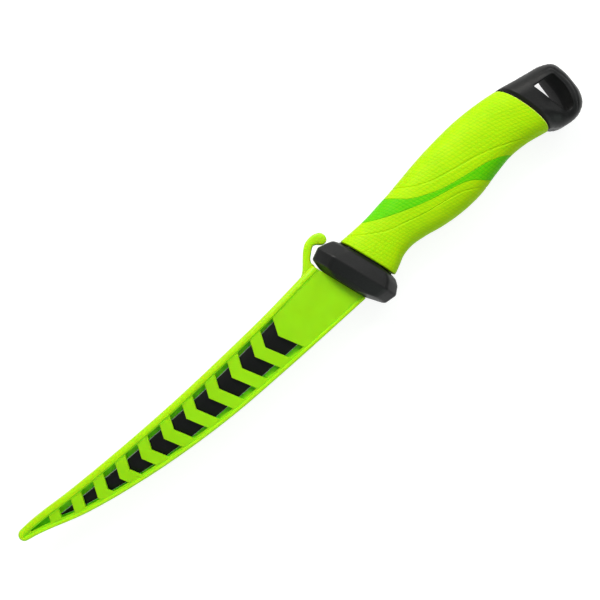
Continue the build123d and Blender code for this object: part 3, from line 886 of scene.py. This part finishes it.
def wave_shape(settings):
    """The wave: a strip between its two banks that closes round the grip, level with the skin, its
    two edges turned down into the bed, and a millimetre thick."""
    turn = np.linspace(0, 2 * pi, WAVE_TURNS, endpoint=False)
    low, high = grip_bounds(turn)[1][1:3]
    low_reach, high_reach = square_reach(turn, low), square_reach(turn, high)
    low, high = low + WAVE_GAP * low_reach, high - WAVE_GAP * high_reach
    inset, edge_depth = WAVE_EDGE.T
    low_side = low[:, None] + low_reach[:, None] * inset
    high_side = high[:, None] - high_reach[:, None] * inset[::-1]
    share = np.linspace(0, 1, WAVE_COLUMNS)[1:-1]
    middle = low_side[:, -1:] + (high_side[:, :1] - low_side[:, -1:]) * share
    x = np.concatenate([low_side, middle, high_side], axis=1)
    depth = np.concatenate([edge_depth, 0 * share, edge_depth[::-1]])
    outer = grip_points(x, turn[:, None], depth)
    inner = grip_points(x, turn[:, None], np.full_like(depth, WAVE_THICKNESS))
    outer, inner = (np.concatenate([a, a[:1]]) for a in (outer, inner))
    index = np.arange(outer[..., 0].size).reshape(outer.shape[:2])
    quads = grid_quads(*outer.shape[:2]).reshape(-1, 4)
    sides = []
    for line in (index[:, 0], index[::-1, -1]):
        a, b = line[:-1], line[1:]
        sides.append(np.stack([b, a, a + index.size, b + index.size], axis=-1))
    quads = np.concatenate([quads, quads[:, ::-1] + index.size, *sides])
    net = net_place(outer[..., 0], settings)
    return np.stack([outer, inner]), quads, {"net": np.stack([net, net])}


# End cap

def polar(points, angles):
    """Radius at each angle of a closed ring of points about the cap's middle."""
    share = np.linspace(0, 1, RING_STEPS, endpoint=False)[:, None]
    between = points[:, None] * (1 - share) + np.roll(points, -1, axis=0)[:, None] * share
    off = between.reshape(-1, 2) - CAP_MIDDLE
    around = np.unwrap(np.arctan2(off[:, 1], off[:, 0]))
    if around[-1] < around[0]:
        around, off = around[::-1], off[::-1]
    radius = np.hypot(*off.T)
    base = around[0]
    around = np.concatenate([around, [base + 2 * pi]])
    radius = np.concatenate([radius, radius[:1]])
    return np.interp(base + (angles - base) % (2 * pi), around, radius)


def cap_radii(outline, angles):
    """Radius at each angle about the cap's middle to its outline, and to the bowed joint, which is
    found by repeating and lies far off where the ray turns away from it."""
    facing = np.cos(angles) * JOINT_NORMAL[0] + np.sin(angles) * JOINT_NORMAL[1]
    towards = np.minimum(facing, -LEAST_FACING)
    off = (JOINT_POINT - CAP_MIDDLE) @ JOINT_NORMAL
    cut = off / towards
    for _ in range(BOW_REPEATS):
        height = np.clip(CAP_MIDDLE[1] + cut * np.sin(angles), *BOW_HEIGHTS)
        cut = (off - joint_bow(height) * JOINT_NORMAL[0]) / towards
    return polar(outline, angles), np.where(facing < -LEAST_FACING, cut, FAR_OFF)


def cap_shape(settings):
    """Rays from the slot's middle, each with a section from the slot's wall over its soft lip, over
    the top, round the outline and back underneath. The top falls away towards the outline as a
    quarter circle would, and is cut square with a small rounding at the joint."""
    reach = run_length(CAP_OUTLINE)
    outline = smooth(reach, CAP_OUTLINE, np.linspace(0, reach[-1], OUTLINE_POINTS))
    tried = np.linspace(0, 2 * pi, ANGLES_TRIED)
    round_radius, cut_radius = cap_radii(outline, tried)
    past = tried[:-1][(cut_radius < round_radius)[:-1]]
    first, last = past.min(), past.max()
    angles = np.concatenate([
        np.linspace(first, last, JOINT_RAYS, endpoint=False),
        np.linspace(last, first + 2 * pi, OUTLINE_RAYS, endpoint=False),
    ])
    round_radius, cut_radius = cap_radii(outline, angles)
    outer_radius = np.minimum(round_radius, cut_radius)
    ray = np.stack([np.cos(angles), np.sin(angles)], axis=-1)
    butt = step(*RING_FACING, ray @ JOINT_NORMAL)[:, None]
    below = step(*DISH_FACING, ray @ np.array([0, -1]))[:, None]
    share = 1 - (1 - np.linspace(0, 1, FACE_STEPS)) ** 2
    lip = settings.slot_lip / MM
    lip_turn = np.linspace(0, pi / 2, LIP_STEPS)
    lip_out = np.broadcast_to(lip * (1 - np.cos(lip_turn)), (len(angles), LIP_STEPS))

    def face(corners):
        """Points of one face from the slot to the outline, and the painted shade of each by the
        joint.
        """
        inner_radius = polar(rounded_ring(corners, SLOT_CUTS, SLOT_CORNER_STEPS), angles)
        span = (outer_radius - inner_radius)[:, None]
        out = np.concatenate([lip_out, lip + (span - lip) * share[1:]], axis=1)
        place = CAP_MIDDLE + ray[:, None, :] * (inner_radius[:, None] + out)[..., None]
        gaps = place[:, :, None, :] - outline[None, None, ::2]
        to_outline = np.sqrt((gaps**2).sum(axis=-1)).min(axis=-1)
        on_outline = round_radius <= cut_radius + TINY
        to_outline[:, -1] = np.where(on_outline, 0, to_outline[:, -1])
        fall = np.clip(CAP_ROUND - to_outline, 0, CAP_ROUND)
        top = CAP_DEPTH / 2 - CAP_ROUND + np.sqrt(CAP_ROUND**2 - fall**2)
        to_joint = (place - JOINT_POINT) @ JOINT_NORMAL + joint_bow(place[..., 1])
        top -= settings.joint_groove / MM * (1 - step(*GROOVE_RUN, to_joint))
        to_slot = np.linalg.norm(place - place[:, :1], axis=-1)
        top -= RING_DEPTH * butt * np.exp(-(((to_slot - RING_PLACE) / RING_WIDTH) ** 2))
        top -= DISH_DEPTH * (1 - butt) * (1 - step(0.0, DISH_REACH, to_slot)) * below
        top[:, :LIP_STEPS] -= lip - lip * np.sin(lip_turn)
        return np.concatenate([place, top[..., None]], axis=-1), 1 - step(*JOINT_SHADE_RUN, to_joint)

    top, top_deep = face(SLOT_TOP)
    under, under_deep = face(SLOT_UNDER)
    under = under * np.array([1, 1, -1])
    # Painted shade on the slot's lip: full on the top face, less on the under face
    top_deep[:, :2], under_deep[:, :2] = 1, SLOT_SHADE
    down, up = SIDE_SHARES[:, None], SLOT_SHARES[:, None]
    side = top[:, -1:] * (1 - down) + under[:, -1:] * down
    inside = under[:, :1] * (1 - up) + top[:, :1] * up
    # Painted shade on the slot's wall, less on its lower part
    slot_wall_shade = np.where(SLOT_SHARES < SLOT_SHADE_SHARE, SLOT_SHADE, 1)
    ring = np.concatenate([top, side, under[:, ::-1], inside], axis=1) + TO_MIDDLE
    deep = np.concatenate([
        top_deep, np.repeat(top_deep[:, -1:], len(SIDE_SHARES), axis=1), under_deep[:, ::-1],
        np.broadcast_to(slot_wall_shade, inside.shape[:2]),
    ], axis=1)
    points, deep = (np.concatenate([a, a[:1]]) for a in (ring, deep))
    return points, grid_quads(*points.shape[:2], around=True), {"deep": deep}


# Sheath

def sheath_side(table, x):
    """Height at x of the sheath's spine or edge curve."""
    return smooth(table[:, 0] * SHEATH_REACH, table[:, 1] * SHEATH_WIDTH, -x)


def foot_spine(x):
    """Height of the foot of the spine's rim."""
    return sheath_side(SPINE_CURVE, x) - SPINE_RIM


def foot_edge(x):
    """Height of the foot of the edge's rim, which runs into the spine's near the tip."""
    return np.minimum(sheath_side(EDGE_CURVE, x) + EDGE_RIM, foot_spine(x))


def sill(x):
    """Height of the windows' side by the edge."""
    return np.minimum(foot_edge(x) + WINDOW_MARGIN, foot_spine(x))


def window_top(x):
    """Height of the windows' side by the spine, close under the rim's foot."""
    return foot_spine(x) - np.minimum(WINDOW_TOP_GAP, (foot_spine(x) - sill(x)) / 4)


def vertex(x):
    """Height of the points of the chevrons."""
    return np.clip(WINDOW_MIDDLE, sill(x), foot_spine(x))


def between(start, end, share):
    """The height a share of the way from one line to another."""
    return lambda x: start(x) + (end(x) - start(x)) * share


def tip_circle():
    """Centre and radius of the circle that rounds the tip, through the ends of the spine and edge
    curves and the tip's own point, and the angle at which it has that point."""
    shares = np.array([SPINE_CURVE[-1], (1, TIP_HEIGHT_SHARE), EDGE_CURVE[-1]])
    a, b, c = shares * (-SHEATH_REACH, SHEATH_WIDTH)
    centre = np.linalg.solve(2 * np.array([b - a, c - a]), [b @ b - a @ a, c @ c - a @ a])
    return centre, np.hypot(*(a - centre)), np.arctan2(*(b - centre)[::-1]) % (2 * pi)


def sheath_columns():
    """Places along the sheath, mouth to tip, with lines on the sides of every window, and which
    spans between them lie in a window."""
    shrink = WINDOW_SHRINK ** np.arange(WINDOW_COUNT)
    starts = -FIRST_WINDOW - np.concatenate([[0], np.cumsum(WINDOW_PITCH * shrink[:-1])])
    sides = np.stack([starts + WINDOW_WIDTH * shrink, starts], axis=-1)
    knots = [MOUTH / cos(TILT), *sides.ravel(), -SPINE_CURVE[-1, 0] * SHEATH_REACH]
    counts = [MOUTH_COLUMNS] + [WINDOW_COLUMNS, BAR_COLUMNS] * WINDOW_COUNT
    places, holes = [], []
    for i, count in enumerate(counts):
        places.append(np.linspace(knots[i], knots[i + 1], count, endpoint=False))
        holes.append(np.full(count, i % 2 == 1))
    return np.concatenate([*places, knots[-1:]]), np.concatenate(holes)


def rim(line, foot, rounding):
    """Points from the outline to the foot of a rim, and their heights: up the side, round the rim
    by a quarter circle, over its top and down its step."""
    across = foot - line
    width = np.linalg.norm(across, axis=-1)
    r = np.minimum(rounding, width - RIM_LEAST_FLAT)
    level = RIM_LEVEL - r
    turn = np.linspace(0, pi / 2, RIM_TURNS)
    nothing = 0 * r
    out = np.concatenate([
        np.stack([nothing + SEAM_DEPTH, nothing, nothing], axis=-1),
        r[:, None] * (1 - np.cos(turn)),
        np.stack([width - back for back, _ in RIM_STEP], axis=-1),
    ], axis=1)
    up = np.concatenate([
        np.stack([nothing, nothing + SEAM_HEIGHT, level / 2], axis=-1),
        level[:, None] + r[:, None] * np.sin(turn),
        np.stack([nothing + RIM_LEVEL - down for _, down in RIM_STEP], axis=-1),
    ], axis=1)
    share = np.clip(out / np.maximum(width, TINY)[:, None], 0, 1)
    return line[:, None] + across[:, None] * share[..., None], up


def inner_skin(xy, lines, feet, rim_rows):
    """The inner skin under an outer one: the same points held inside the hollow, at least a wall's
    thickness from the outline, and closer still in the throat by the mouth."""
    from_mouth = np.abs(xy[..., 0] * cos(TILT) + xy[..., 1] * sin(TILT) - MOUTH)
    throat = 1 - step(THROAT_LENGTH - THROAT_BLEND, THROAT_LENGTH + THROAT_BLEND, from_mouth)
    high = (lines[0][:, None, 1] - WALL) * (1 - throat) + THROAT_TOP * throat
    low = (lines[1][:, None, 1] + WALL) * (1 - throat) + THROAT_BOTTOM * throat
    inner = xy.copy()
    for line, foot, rows in zip(lines, feet, (slice(0, rim_rows), slice(-rim_rows, None))):
        across = foot - line
        width = np.maximum(np.linalg.norm(across, axis=-1), TINY)[:, None]
        gone = np.linalg.norm(xy[:, rows] - line[:, None], axis=-1)
        share = np.maximum(gone, np.minimum(WALL, width)) / width
        inner[:, rows] = line[:, None] + across[:, None] * share[..., None]
    inner[..., 1] = np.where(throat > 0, np.clip(inner[..., 1], low, high), inner[..., 1])
    climb = np.clip(np.arange(rim_rows) / CLIMB_ROWS, 0, 1)
    climbs = np.concatenate([climb, np.ones(xy.shape[1] - 2 * rim_rows), climb[::-1]])
    up = (HOLLOW_LEVEL + (THROAT_LEVEL - HOLLOW_LEVEL) * throat) * climbs
    return np.concatenate([inner, up[..., None]], axis=-1)


def sheath_shape(side, settings):
    """One half of the sheath, as a wall between an outer and an inner skin. The near half has the
    windows. Columns run along it and lean with the windows' sides. Rows run across it: up the spine
    side, round the rim and down its step, over the panel, and the same in mirror at the edge. Round
    the tip, the rows of both rims fan from the outline to the point where the panel ends."""
    place, hole = sheath_columns()
    lean = step(*UPRIGHT_RUN, place)
    turn_in = step(*TURN_IN_RUN, place)
    centre, radius, tip_angle = tip_circle()

    def placed(height):
        """Points of a row whose height is a function of x: x leans with y, found by repeating."""
        x = place
        for _ in range(LEAN_REPEATS):
            y = height(x)
            chevron = WINDOW_SLOPE * np.abs(y - WINDOW_MIDDLE)
            x = place + lean * turn_in * chevron - (1 - turn_in) * tan(TILT) * y
        return np.stack([x, height(x)], axis=-1)

    def outlined(table):
        """One side of the outline, run on round the tip to its far point."""
        line = placed(partial(sheath_side, table))
        x, y = line[-1] - centre
        angle = np.arctan2(y, x) % (2 * pi)
        sweep = angle + (tip_angle - angle) * np.linspace(0, 1, TIP_STEPS + 1)[1:]
        fan = centre + radius * np.stack([np.cos(sweep), np.sin(sweep)], axis=-1)
        return np.concatenate([line, fan])

    end = np.array(place[-1])
    meeting = np.array([end, (foot_spine(end) + foot_edge(end)) / 2])
    heights = [
        foot_spine, window_top, *(between(window_top, vertex, share) for share in UPPER_SHARES),
        *(between(vertex, sill, share) for share in LOWER_SHARES),
        between(foot_edge, sill, FOOT_SHARE), foot_edge,
    ]
    fan = np.broadcast_to(meeting, (TIP_STEPS, 2))
    panel = np.stack([np.concatenate([placed(height), fan]) for height in heights], axis=1)
    panel[len(place) - 1 :] = meeting
    round_tip = np.concatenate([np.zeros(len(place)), np.linspace(0, 1, TIP_STEPS + 1)[1:]])
    lines, feet = (outlined(SPINE_CURVE), outlined(EDGE_CURVE)), (panel[:, 0], panel[:, -1])
    (spine_xy, spine_up), (edge_xy, edge_up) = (
        rim(line, foot, size + (TIP_ROUND - size) * round_tip)
        for line, foot, size in zip(lines, feet, (SPINE_RIM_ROUND, EDGE_RIM_ROUND))
    )
    panel_up = np.full(panel.shape[:2], PANEL_LEVEL)
    panel_up[:, [0, -1]] -= settings.groove_depth / MM
    xy = np.concatenate([spine_xy, panel, edge_xy[:, ::-1]], axis=1)
    up = np.concatenate([spine_up, panel_up, edge_up[:, ::-1]], axis=1)
    rim_rows = spine_xy.shape[1]
    outer = np.concatenate([xy, up[..., None]], axis=-1)
    inner = inner_skin(xy, lines, feet, rim_rows)
    quads = grid_quads(*xy.shape[:2])
    if side > 0:
        kept = np.ones(quads.shape[:2], bool)
        kept[: len(hole), rim_rows : rim_rows + len(heights) - 3] = ~hole[:, None]
        quads = quads[kept]
    # Painted light by rows: rims 1, panel less, rims' feet less; the inner skin gets the painted
    # glow
    over_panel = np.full(len(heights), PANEL_GLOW)
    glow = np.concatenate([np.ones(rim_rows), over_panel, np.ones(rim_rows)])
    glow[rim_rows - 2 : rim_rows + 1] = glow[-rim_rows - 1 : 2 - rim_rows] = RIM_FOOT_GLOW
    glow = np.broadcast_to(glow, xy.shape[:2]).reshape(-1)
    skins = outer.reshape(-1, 3), inner.reshape(-1, 3)
    points, quads, glow = wall(*skins, quads.reshape(-1, 4), glow)
    return points * np.array([1, 1, side]) + TO_MIDDLE, quads, {"glow": glow}


# Latch

def latch_shape():
    """Sections across the tongue at even steps, root to bead: each is a rounded oblong between a
    pair of points of its outer and inner lines, as deep as the tongue, and shrinks to nothing at
    the bead's end."""
    reach = run_length((LATCH_OUTER + LATCH_INNER) / 2)
    reach += np.arange(len(reach)) * LATCH_PAIR_GAP
    places = np.linspace(0, reach[-1], LATCH_SECTIONS)
    outer, inner = (smooth(reach, line, places) for line in (LATCH_OUTER, LATCH_INNER))
    middle, half = (outer + inner) / 2, (outer - inner) / 2
    turn = np.linspace(0, 2 * pi, LATCH_TURNS, endpoint=False)
    across, deep = (
        np.sign(wave) * np.abs(wave) ** LATCH_SQUARENESS for wave in (np.cos(turn), np.sin(turn))
    )
    width = np.linalg.norm(half, axis=1)
    depth = LATCH_HALF_DEPTH * np.minimum(1, (width / LATCH_FULL_WIDTH) ** 0.5)
    xy = middle[:, None] + half[:, None] * across[:, None]
    z = MIDDLE + depth[:, None] * deep
    points = closed_ends(np.concatenate([xy, z[..., None]], axis=-1))
    # Glow 1 gives the whole latch the rims' painted light
    return points, grid_quads(*points.shape[:2], around=True), {"glow": np.ones(points.shape[:2])}


# Settings

def length(name, description, default, low, high):
    """A length setting, given in millimetres."""
    return bpy.props.FloatProperty(
        name=name, description=description, default=default * MM, min=low * MM, max=high * MM,
        unit="LENGTH", precision=5,
    )


def paint(name, description, text):
    """A colour setting, given as an sRGB hex colour."""
    return bpy.props.FloatVectorProperty(
        name=name, description=description, default=linear(text), size=4, min=0, max=1,
        subtype="COLOR",
    )


def power(name, description, default):
    """A lamp's power, in watts."""
    return bpy.props.FloatProperty(
        name=name, description=description, default=default, unit="POWER",
    )


class KnifeColours(bpy.types.PropertyGroup):
    """Colours of the knife's materials"""

    sheath: paint("Sheath panel", "Lime plastic of the sheath's thin panel", "#95D200")
    # Painted light: the rim's paler colour, and the inside's bright painted glow through the walls
    sheath_rim: paint("Sheath rim", "The same plastic where it stands thick", "#AAD700")
    sheath_deep: paint("Sheath inside", "The same plastic on the walls inside", "#AAFF1C")
    grip: paint("Grip", "Lime rubber of the grip", "#B0DA00")
    # Cloudy tone, and painted shade between the net's diamonds
    grip_deep: paint("Grip, deeper", "Between the diamonds of the net", "#94D400")
    # Painted highlight on the grip's edge at the cap
    grip_edge: paint("Grip edge", "The rubber's thin edge at the cap, rubbed pale", "#E8FF70")
    wave: paint("Wave", "Green rubber of the wave", "#6ECB00")
    # Cloudy tone, and painted shade between the net's diamonds
    wave_deep: paint("Wave, deeper", "Between the diamonds on the wave", "#42C300")
    black: paint("Black plastic", "Guard and cap", "#09090B")
    black_light: paint("Black plastic, grain", "Tops of the grain", "#141416")
    # Painted shade for the slot and the joint's groove
    black_deep: paint("Black plastic, deep", "In the slot and the joint", "#020202")
    coating: paint("Blade coating", "Black coating of the blade", "#040405")
    coating_light: paint("Blade coating, grain", "Tops of the coating's grain", "#0B0B0E")
    # Painted highlight along the spine's corners
    coating_worn: paint("Blade coating, worn", "The coating rubbed thin on the spine", "#B4BAB0")
    steel: paint("Steel", "Bare steel", "#C4C6C8")
    steel_dark: paint("Steel, dark", "Shadowed tool marks", "#8E9092")


class GripSettings(bpy.types.PropertyGroup):
    """Sizes on the grip"""

    net_pitch: length("Net pitch", "Distance between lines of the net", 1.6, 0.5, 6)
    line_width: length("Line width", "Width of the engraved lines", 1.0, 0.2, 3)
    line_depth: length("Line depth", "Depth of the engraved lines", 0.25, 0, 1)


class SheathSettings(bpy.types.PropertyGroup):
    """Sizes on the sheath"""

    groove_depth: length("Groove depth", "Depth of the groove inside the rim", 0.05, 0, 0.8)


class CapSettings(bpy.types.PropertyGroup):
    """Sizes on the end cap"""

    slot_lip: length("Slot lip", "Rounding of the lanyard slot's edge", 0.8, 0.3, 2)
    joint_groove: length("Joint groove", "Depth of the groove at the grip", 1.3, 0, 2)


class StageSettings(bpy.types.PropertyGroup):
    """Camera and light"""

    view_height: length("View height", "Height over the knife's middle plane", 450, 200, 2000)
    view_half_width: length("View half width", "Half of what is seen there", 143.9, 50, 1000)
    key_power: power("Key light", "Power of the key light", 6.2)
    fill_power: power("Fill light", "Power of the fill light", 1.9)
    butt_power: power("Butt light", "Power of the soft light beyond the butt", 3.5)
    world_strength: bpy.props.FloatProperty(
        name="World", description="Strength of the surroundings", default=0.32,
    )


# Stage

def add_camera(scene, settings):
    """Adds the camera, square above the knife and turned as the photo is."""
    data = bpy.data.cameras.new("photo_camera")
    data.angle = 2 * atan(settings.view_half_width / settings.view_height)
    data.clip_start = NEAREST_SEEN
    camera = bpy.data.objects.new("photo_camera", data)
    camera.location = (*AIM, MIDDLE * MM + settings.view_height)
    camera.rotation_euler = (0, 0, VIEW_TURN)
    scene.collection.objects.link(camera)
    scene.camera = camera


def add_lights(scene, settings):
    """Adds the lamps, each turned to what the camera looks at, and the surroundings."""
    for name, setting, size, place, colour in LAMPS:
        lamp = bpy.data.lights.new(name, "AREA")
        lamp.energy = getattr(settings, setting)
        lamp.size = size
        lamp.color = colour
        made = bpy.data.objects.new(name, lamp)
        made.location = place
        x, y, z = np.array([*AIM, 0]) - place
        made.rotation_euler = (np.arctan2(np.hypot(x, y), -z), 0, np.arctan2(y, x) - pi / 2)
        scene.collection.objects.link(made)
    world = bpy.data.worlds.new("white_room")
    add = emptied(world)
    sky = add("Background", {"Color": SKY_COLOUR, "Strength": settings.world_strength})
    add("OutputWorld", {"Surface": sky})
    scene.world = world


def white_sweep():
    """Matt white paper, lit from behind for whoever looks at it, so that it stays white and still
    takes a soft shadow, and plain grey for the light that it throws back on the knife."""
    material = bpy.data.materials.new("white_sweep")
    add = emptied(material)
    seen = 0
    for ray in ("Is Camera Ray", "Is Glossy Ray", "Is Transmission Ray"):
        is_ray = add("LightPath", output=ray)
        seen = add("Math", {0: seen, 1: is_ray}, operation="MAXIMUM")
    matt = add("BsdfDiffuse", {"Color": SWEEP_GREY})
    dim = add("BsdfDiffuse", {"Color": SWEEP_DIM_GREY})
    glow = add("Emission", {"Color": (1, 1, 1, 1), "Strength": SWEEP_GLOW})
    lit = add("AddShader", {0: dim, 1: glow})
    add("OutputMaterial", {"Surface": add("MixShader", {0: seen, 1: matt, 2: lit})})
    return material


# Operators

class KNIFE_OT_stage(bpy.types.Operator):
    """Set up the camera, the lights and the white floor"""

    bl_idname = "knife.stage"
    bl_label = "Camera, light and floor"

    def execute(self, context):
        scene = context.scene
        scene.view_settings.view_transform = "Standard"
        add_camera(scene, scene.knife_stage)
        add_lights(scene, scene.knife_stage)
        mesh = bpy.data.meshes.new("floor")
        low, high = -FLOOR_REACH, FLOOR_REACH
        corners = [(low, low, 0), (high, low, 0), (high, high, 0), (low, high, 0)]
        mesh.from_pydata(corners, [], [(0, 1, 2, 3)])
        mesh.materials.append(white_sweep())
        floor = bpy.data.objects.new("floor", mesh)
        scene.collection.objects.link(floor)
        return {"FINISHED"}


class KNIFE_OT_blade(bpy.types.Operator):
    """Build the coated blade"""

    bl_idname = "knife.blade"
    bl_label = "Blade"

    def execute(self, context):
        material = make_material(coated_stainless_steel, context.scene.knife_colours)
        add_piece("blade_coated", blade_shape(), material, "knife", ["blade"])
        return {"FINISHED"}


class KNIFE_OT_guard(bpy.types.Operator):
    """Build the finger guard"""

    bl_idname = "knife.guard"
    bl_label = "Guard"

    def execute(self, context):
        material = make_material(grained_black_nylon, context.scene.knife_colours)
        add_piece("guard_body", guard_shape(), material, "knife", ["guard"])
        return {"FINISHED"}


class KNIFE_OT_core(bpy.types.Operator):
    """Give the hidden core, rivets and pin their materials"""

    bl_idname = "knife.core"
    bl_label = "Core and pins"

    def execute(self, context):
        for recipe, names in (
            (moulded_core_nylon, ("core_left", "core_right")),
            (turned_stainless_steel, ("tang_rivets", "cap_pin")),
        ):
            material = make_material(recipe, context.scene.knife_colours)
            for name in names:
                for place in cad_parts[name].material_slots:
                    place.material = material
        return {"FINISHED"}


class KNIFE_OT_grip(bpy.types.Operator):
    """Build the rubber sleeve with its engraved lines and its net"""

    bl_idname = "knife.grip"
    bl_label = "Grip"

    def execute(self, context):
        colours = context.scene.knife_colours
        paints = colours.grip, colours.grip_deep, colours.grip_edge
        material = make_material(soft_touch_rubber, *paints)
        shape = grip_shape(context.scene.knife_grip)
        add_piece("grip_skin", shape, material, "knife", ["grip_sleeve"])
        return {"FINISHED"}


class KNIFE_OT_wave(bpy.types.Operator):
    """Build the green wave inlaid round the grip"""

    bl_idname = "knife.wave"
    bl_label = "Wave"

    def execute(self, context):
        colours = context.scene.knife_colours
        paints = colours.wave, colours.wave_deep, colours.grip_edge
        material = make_material(soft_touch_rubber, *paints, name="inlaid_rubber")
        shape = wave_shape(context.scene.knife_grip)
        add_piece("grip_wave_inlay", shape, material, "knife", ["grip_wave"])
        return {"FINISHED"}


class KNIFE_OT_cap(bpy.types.Operator):
    """Build the end cap with its lanyard slot"""

    bl_idname = "knife.cap"
    bl_label = "End cap"

    def execute(self, context):
        material = bpy.data.materials["grained_black_nylon"]
        shape = cap_shape(context.scene.knife_cap)
        add_piece("end_cap_body", shape, material, "knife", ["end_cap"])
        return {"FINISHED"}


class KNIFE_OT_sheath(bpy.types.Operator):
    """Build the two halves of the sheath"""

    bl_idname = "knife.sheath"
    bl_label = "Sheath"

    def execute(self, context):
        material = make_material(moulded_polypropylene, context.scene.knife_colours)
        for node, side in (("sheath_front", 1), ("sheath_back", -1)):
            shape = sheath_shape(side, context.scene.knife_sheath)
            add_piece(f"{node}_half", shape, material, "sheath", [node])
        return {"FINISHED"}


class KNIFE_OT_latch(bpy.types.Operator):
    """Build the springy latch that hooks over the guard"""

    bl_idname = "knife.latch"
    bl_label = "Latch"

    def execute(self, context):
        material = bpy.data.materials["moulded_polypropylene"]
        made = add_piece(
            "latch_tongue", latch_shape(), material, None, ["sheath_latch"],
        )
        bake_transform(made)
        return {"FINISHED"}


class KNIFE_PT_panel(bpy.types.Panel):
    """Lists what can be built and changed"""

    bl_idname = "KNIFE_PT_panel"
    bl_label = "Fillet Knife"
    bl_space_type = "VIEW_3D"
    bl_region_type = "UI"
    bl_category = "Knife"

    def draw(self, context):
        for operator in OPERATORS:
            self.layout.operator(operator.bl_idname)
        for name in SETTINGS:
            box = self.layout.box()
            group = getattr(context.scene, name)
            for key in type(group).__annotations__:
                box.prop(group, key)


SETTINGS = {
    "knife_colours": KnifeColours,
    "knife_grip": GripSettings,
    "knife_sheath": SheathSettings,
    "knife_cap": CapSettings,
    "knife_stage": StageSettings,
}
OPERATORS = (
    KNIFE_OT_stage, KNIFE_OT_blade, KNIFE_OT_guard, KNIFE_OT_core, KNIFE_OT_grip,
    KNIFE_OT_wave, KNIFE_OT_cap, KNIFE_OT_sheath, KNIFE_OT_latch,
)


def register():
    """Registers the settings, the operators and the panel."""
    for made in (*SETTINGS.values(), *OPERATORS, KNIFE_PT_panel):
        bpy.utils.register_class(made)
    for name, kind in SETTINGS.items():
        setattr(bpy.types.Scene, name, bpy.props.PointerProperty(type=kind))


def unregister():
    """Takes them away again."""
    for name in SETTINGS:
        delattr(bpy.types.Scene, name)
    for made in (KNIFE_PT_panel, *reversed(OPERATORS), *reversed(SETTINGS.values())):
        bpy.utils.unregister_class(made)


def main():
    """Builds the stage and every piece."""
    register()
    for operator in OPERATORS:
        group, name = operator.bl_idname.split(".")
        getattr(getattr(bpy.ops, group), name)()
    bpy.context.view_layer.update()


if __name__ == "__main__":
    main()
